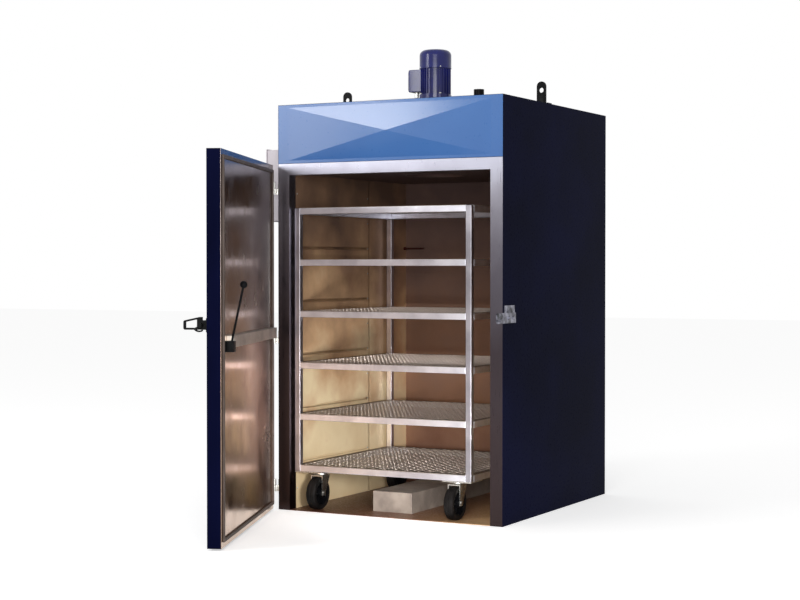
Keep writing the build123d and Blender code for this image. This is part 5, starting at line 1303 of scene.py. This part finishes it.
@dataclass
class Trolley:
    """Tube trolley with perforated decks."""

    shop: Workshop
    tube: float = 0.030
    deck_count: int = 6
    sheet: float = 0.0015
    sheet_margin: float = 0.001
    hole_radius: float = 0.0125
    hole_pitch: float = 0.036
    hole_edge: float = 0.038
    bead_radius: float = 0.0019
    bead_count: int = 22

    def build(self) -> None:
        """Dress the trolley and add its decks and welds."""
        shop = self.shop
        shop.softened(Coat.WORN_TUBE, "trolley_uprights", bevel=0.0025)
        shop.softened(Coat.BRIGHT_TUBE, "shelf_frames", bevel=0.0025)
        shop.softened(Coat.ZINC, "caster_plates", bevel=0.001)
        low, high = corners("shelf_frames")
        pitch = (high.z - low.z - self.tube) / (self.deck_count - 1)
        levels = [low.z + self.tube / 2 + pitch * i for i in range(self.deck_count)]
        self.add_decks(levels)
        self.add_welds(levels, low, high)

    def deck_outline(self, half_x: float, half_y: float) -> bpy.types.Mesh:
        """Edge of a deck as a loop of straight lines, notched round the corner posts.

        Args:
            half_x: Half the deck's width.
            half_y: Half its depth.

        Returns:
            A mesh of edges.
        """
        cut_x, cut_y = half_x - self.tube, half_y - self.tube
        right = mirrored([(cut_x, half_y), (cut_x, cut_y), (half_x, cut_y)])
        loop = right + [(-x, y) for x, y in reversed(right)]
        mesh = bpy.data.meshes.new("deck_outline")
        count = len(loop)
        mesh.from_pydata([(x, y, 0.0) for x, y in loop], [(i, (i + 1) % count) for i in range(count)], [])
        return mesh

    def add_decks(self, levels: Sequence[float]) -> None:
        """One perforated sheet on each level, its holes finer than those of the solid.

        Args:
            levels: Heights of the shelf tubes' middles.
        """
        low, high = corners("shelf_decks")
        centre, half = (low + high) / 2, (high - low) / 2
        row_step = self.hole_pitch * math.sqrt(3) / 2
        rows, steps = (int(2 * (room - self.hole_edge) // step) + 1
                       for room, step in ((half.x, row_step), (half.y, self.hole_pitch)))
        keep = self.tube + self.sheet_margin + self.hole_radius
        deck = self.shop.pattern.sheet.mesh(
            "deck", Coat.DECK_STAINLESS, self.deck_outline(half.x, half.y), Rows=rows, Steps=steps,
            Pitch=self.hole_pitch, Row_Step=row_step, Hole_Radius=self.hole_radius, Thickness=self.sheet,
            Corner_X=half.x - keep, Corner_Y=half.y - keep)
        for i, level in enumerate(levels):
            name = "shelf_deck_%d" % (i + 1)
            spot = Matrix.Translation((centre.x, centre.y, level + self.tube / 2))
            self.shop.place(name, joined(name, [(deck, spot)]), Coat.DECK_STAINLESS, "shelf_decks",
                            ("shelf_decks",))

    def add_welds(self, levels: Sequence[float], low: Vector, high: Vector) -> None:
        """Weld beads where the shelf tubes meet the corner posts.

        Args:
            levels: Heights of the shelf tubes' middles.
            low: Lowest corner of the shelf tubes.
            high: Their highest corner.
        """
        loop = self.shop.pattern.beads.mesh("bead_loop", Coat.BRIGHT_TUBE, Side=self.tube,
                                            Count=self.bead_count, Bead_Radius=self.bead_radius)
        parts = []
        for level in levels:
            for y in inset(low.y, high.y, self.tube / 2):
                parts += [(loop, facing((x, y, level), (way, 0, 0)))
                          for x, way in zip(inset(low.x, high.x, self.tube), (1, -1))]
            for x in inset(low.x, high.x, self.tube / 2):
                parts += [(loop, facing((x, y, level), (0, way, 0)))
                          for y, way in zip(inset(low.y, high.y, self.tube), (1, -1))]
        self.shop.place("trolley_welds", joined("trolley_welds", parts), Coat.BRIGHT_TUBE, "shelf_frames")


@dataclass
class Caster:
    """One swivel caster: pressed fork, ball race, ribbed hub and rubber tyre.

    The tyre and the hub are given by one side of their outline, as radius and distance from the wheel's
    middle plane. The race's outline is counted from its top.
    """

    shop: Workshop
    corner: str
    tyre: Profile = ((0.058, 0.024), (0.066, 0.025), (0.074, 0.024), (0.0785, 0.020), (0.080, 0.014),
                     (0.080, 0.003), (0.0785, 0.0015))
    tyre_steps: int = 72
    hub: Profile = ((0.0061, 0.025), (0.020, 0.025), (0.022, 0.004), (0.053, 0.004), (0.054, 0.022),
                    (0.058, 0.023))
    hub_steps: int = 60
    rib_count: int = 6
    rib_middle: float = 0.0365
    rib_size: Point = (0.035, 0.004, 0.036)
    race: Profile = ((0.0255, -0.013), (0.034, -0.0125), (0.036, -0.009), (0.035, -0.004), (0.031, -0.001),
                     (0.0255, 0.0))
    race_drop: float = 0.001
    nut: Fastener = Fastener(Head.HEX, 0.011, 0.006)
    nut_seat: float = 0.033

    def build(self) -> None:
        """Make the fork, the race, the hub and the tyre."""
        shop, corner = self.shop, self.corner
        fork, wheel = "caster_fork_" + corner, "caster_wheel_" + corner
        shop.softened(Coat.ZINC, fork, bevel=0.0012)
        low, high = corners(wheel)
        centre = (low + high) / 2
        axle = facing(centre, (1, 0, 0))
        tyre = lathe("tyre", mirrored(self.tyre), axle, self.tyre_steps)
        shop.place("tyre_" + corner, tyre, Coat.TYRE_RUBBER, wheel, (wheel,))
        shop.place("hub_" + corner, self.hub_mesh(axle), Coat.BLACK_ENAMEL, wheel, (wheel,))
        self.add_race(fork)
        seats = [facing(centre + Vector((side * self.nut_seat, 0.0, 0.0)), (side, 0, 0)) for side in (-1, 1)]
        shop.fasten("axle_nuts_" + corner, fork, self.nut, seats)

    def hub_mesh(self, axle: Matrix) -> bpy.types.Mesh:
        """Hub with a web and ribs on both sides.

        Args:
            axle: Matrix of the wheel's axle.

        Returns:
            The hub's mesh.
        """
        wheel = lathe("hub_body", mirrored(self.hub), Matrix(), self.hub_steps)
        ribs = self.shop.pattern.ribs.mesh("hub_ribs", Coat.BLACK_ENAMEL, Count=self.rib_count,
                                           Distance=self.rib_middle, Rib_Size=self.rib_size)
        return joined("hub_" + self.corner, [(wheel, axle), (ribs, axle)])

    def add_race(self, fork: str) -> None:
        """Pressed cup of the swivel's ball race, on top of the fork.

        Args:
            fork: The fork's node.
        """
        x, y, _ = self.shop.joints["swivel_" + self.corner]["pos_m"]
        top = corners(fork)[1].z - self.race_drop
        race = lathe("race", self.race, Matrix.Translation((x, y, top)))
        self.shop.place("race_" + self.corner, race, Coat.ZINC, fork)


def main() -> None:
    """Build the scene in order and note each part."""
    logging.basicConfig(level=logging.INFO, format="%(name)s: %(message)s")
    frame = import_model()
    shop = Workshop(frame)
    groups = [Studio(), FanMotor(shop), Cabinet(shop), Chamber(shop), RoofVent(shop), Door(shop), Latch(shop),
              ControlBox(shop), Trolley(shop)]
    groups += [Caster(shop, corner) for corner in ("front_left", "front_right", "back_left", "back_right")]
    for group in groups:
        group.build()
        LOG.info("built %s", type(group).__name__)


if __name__ == "__main__":
    main()
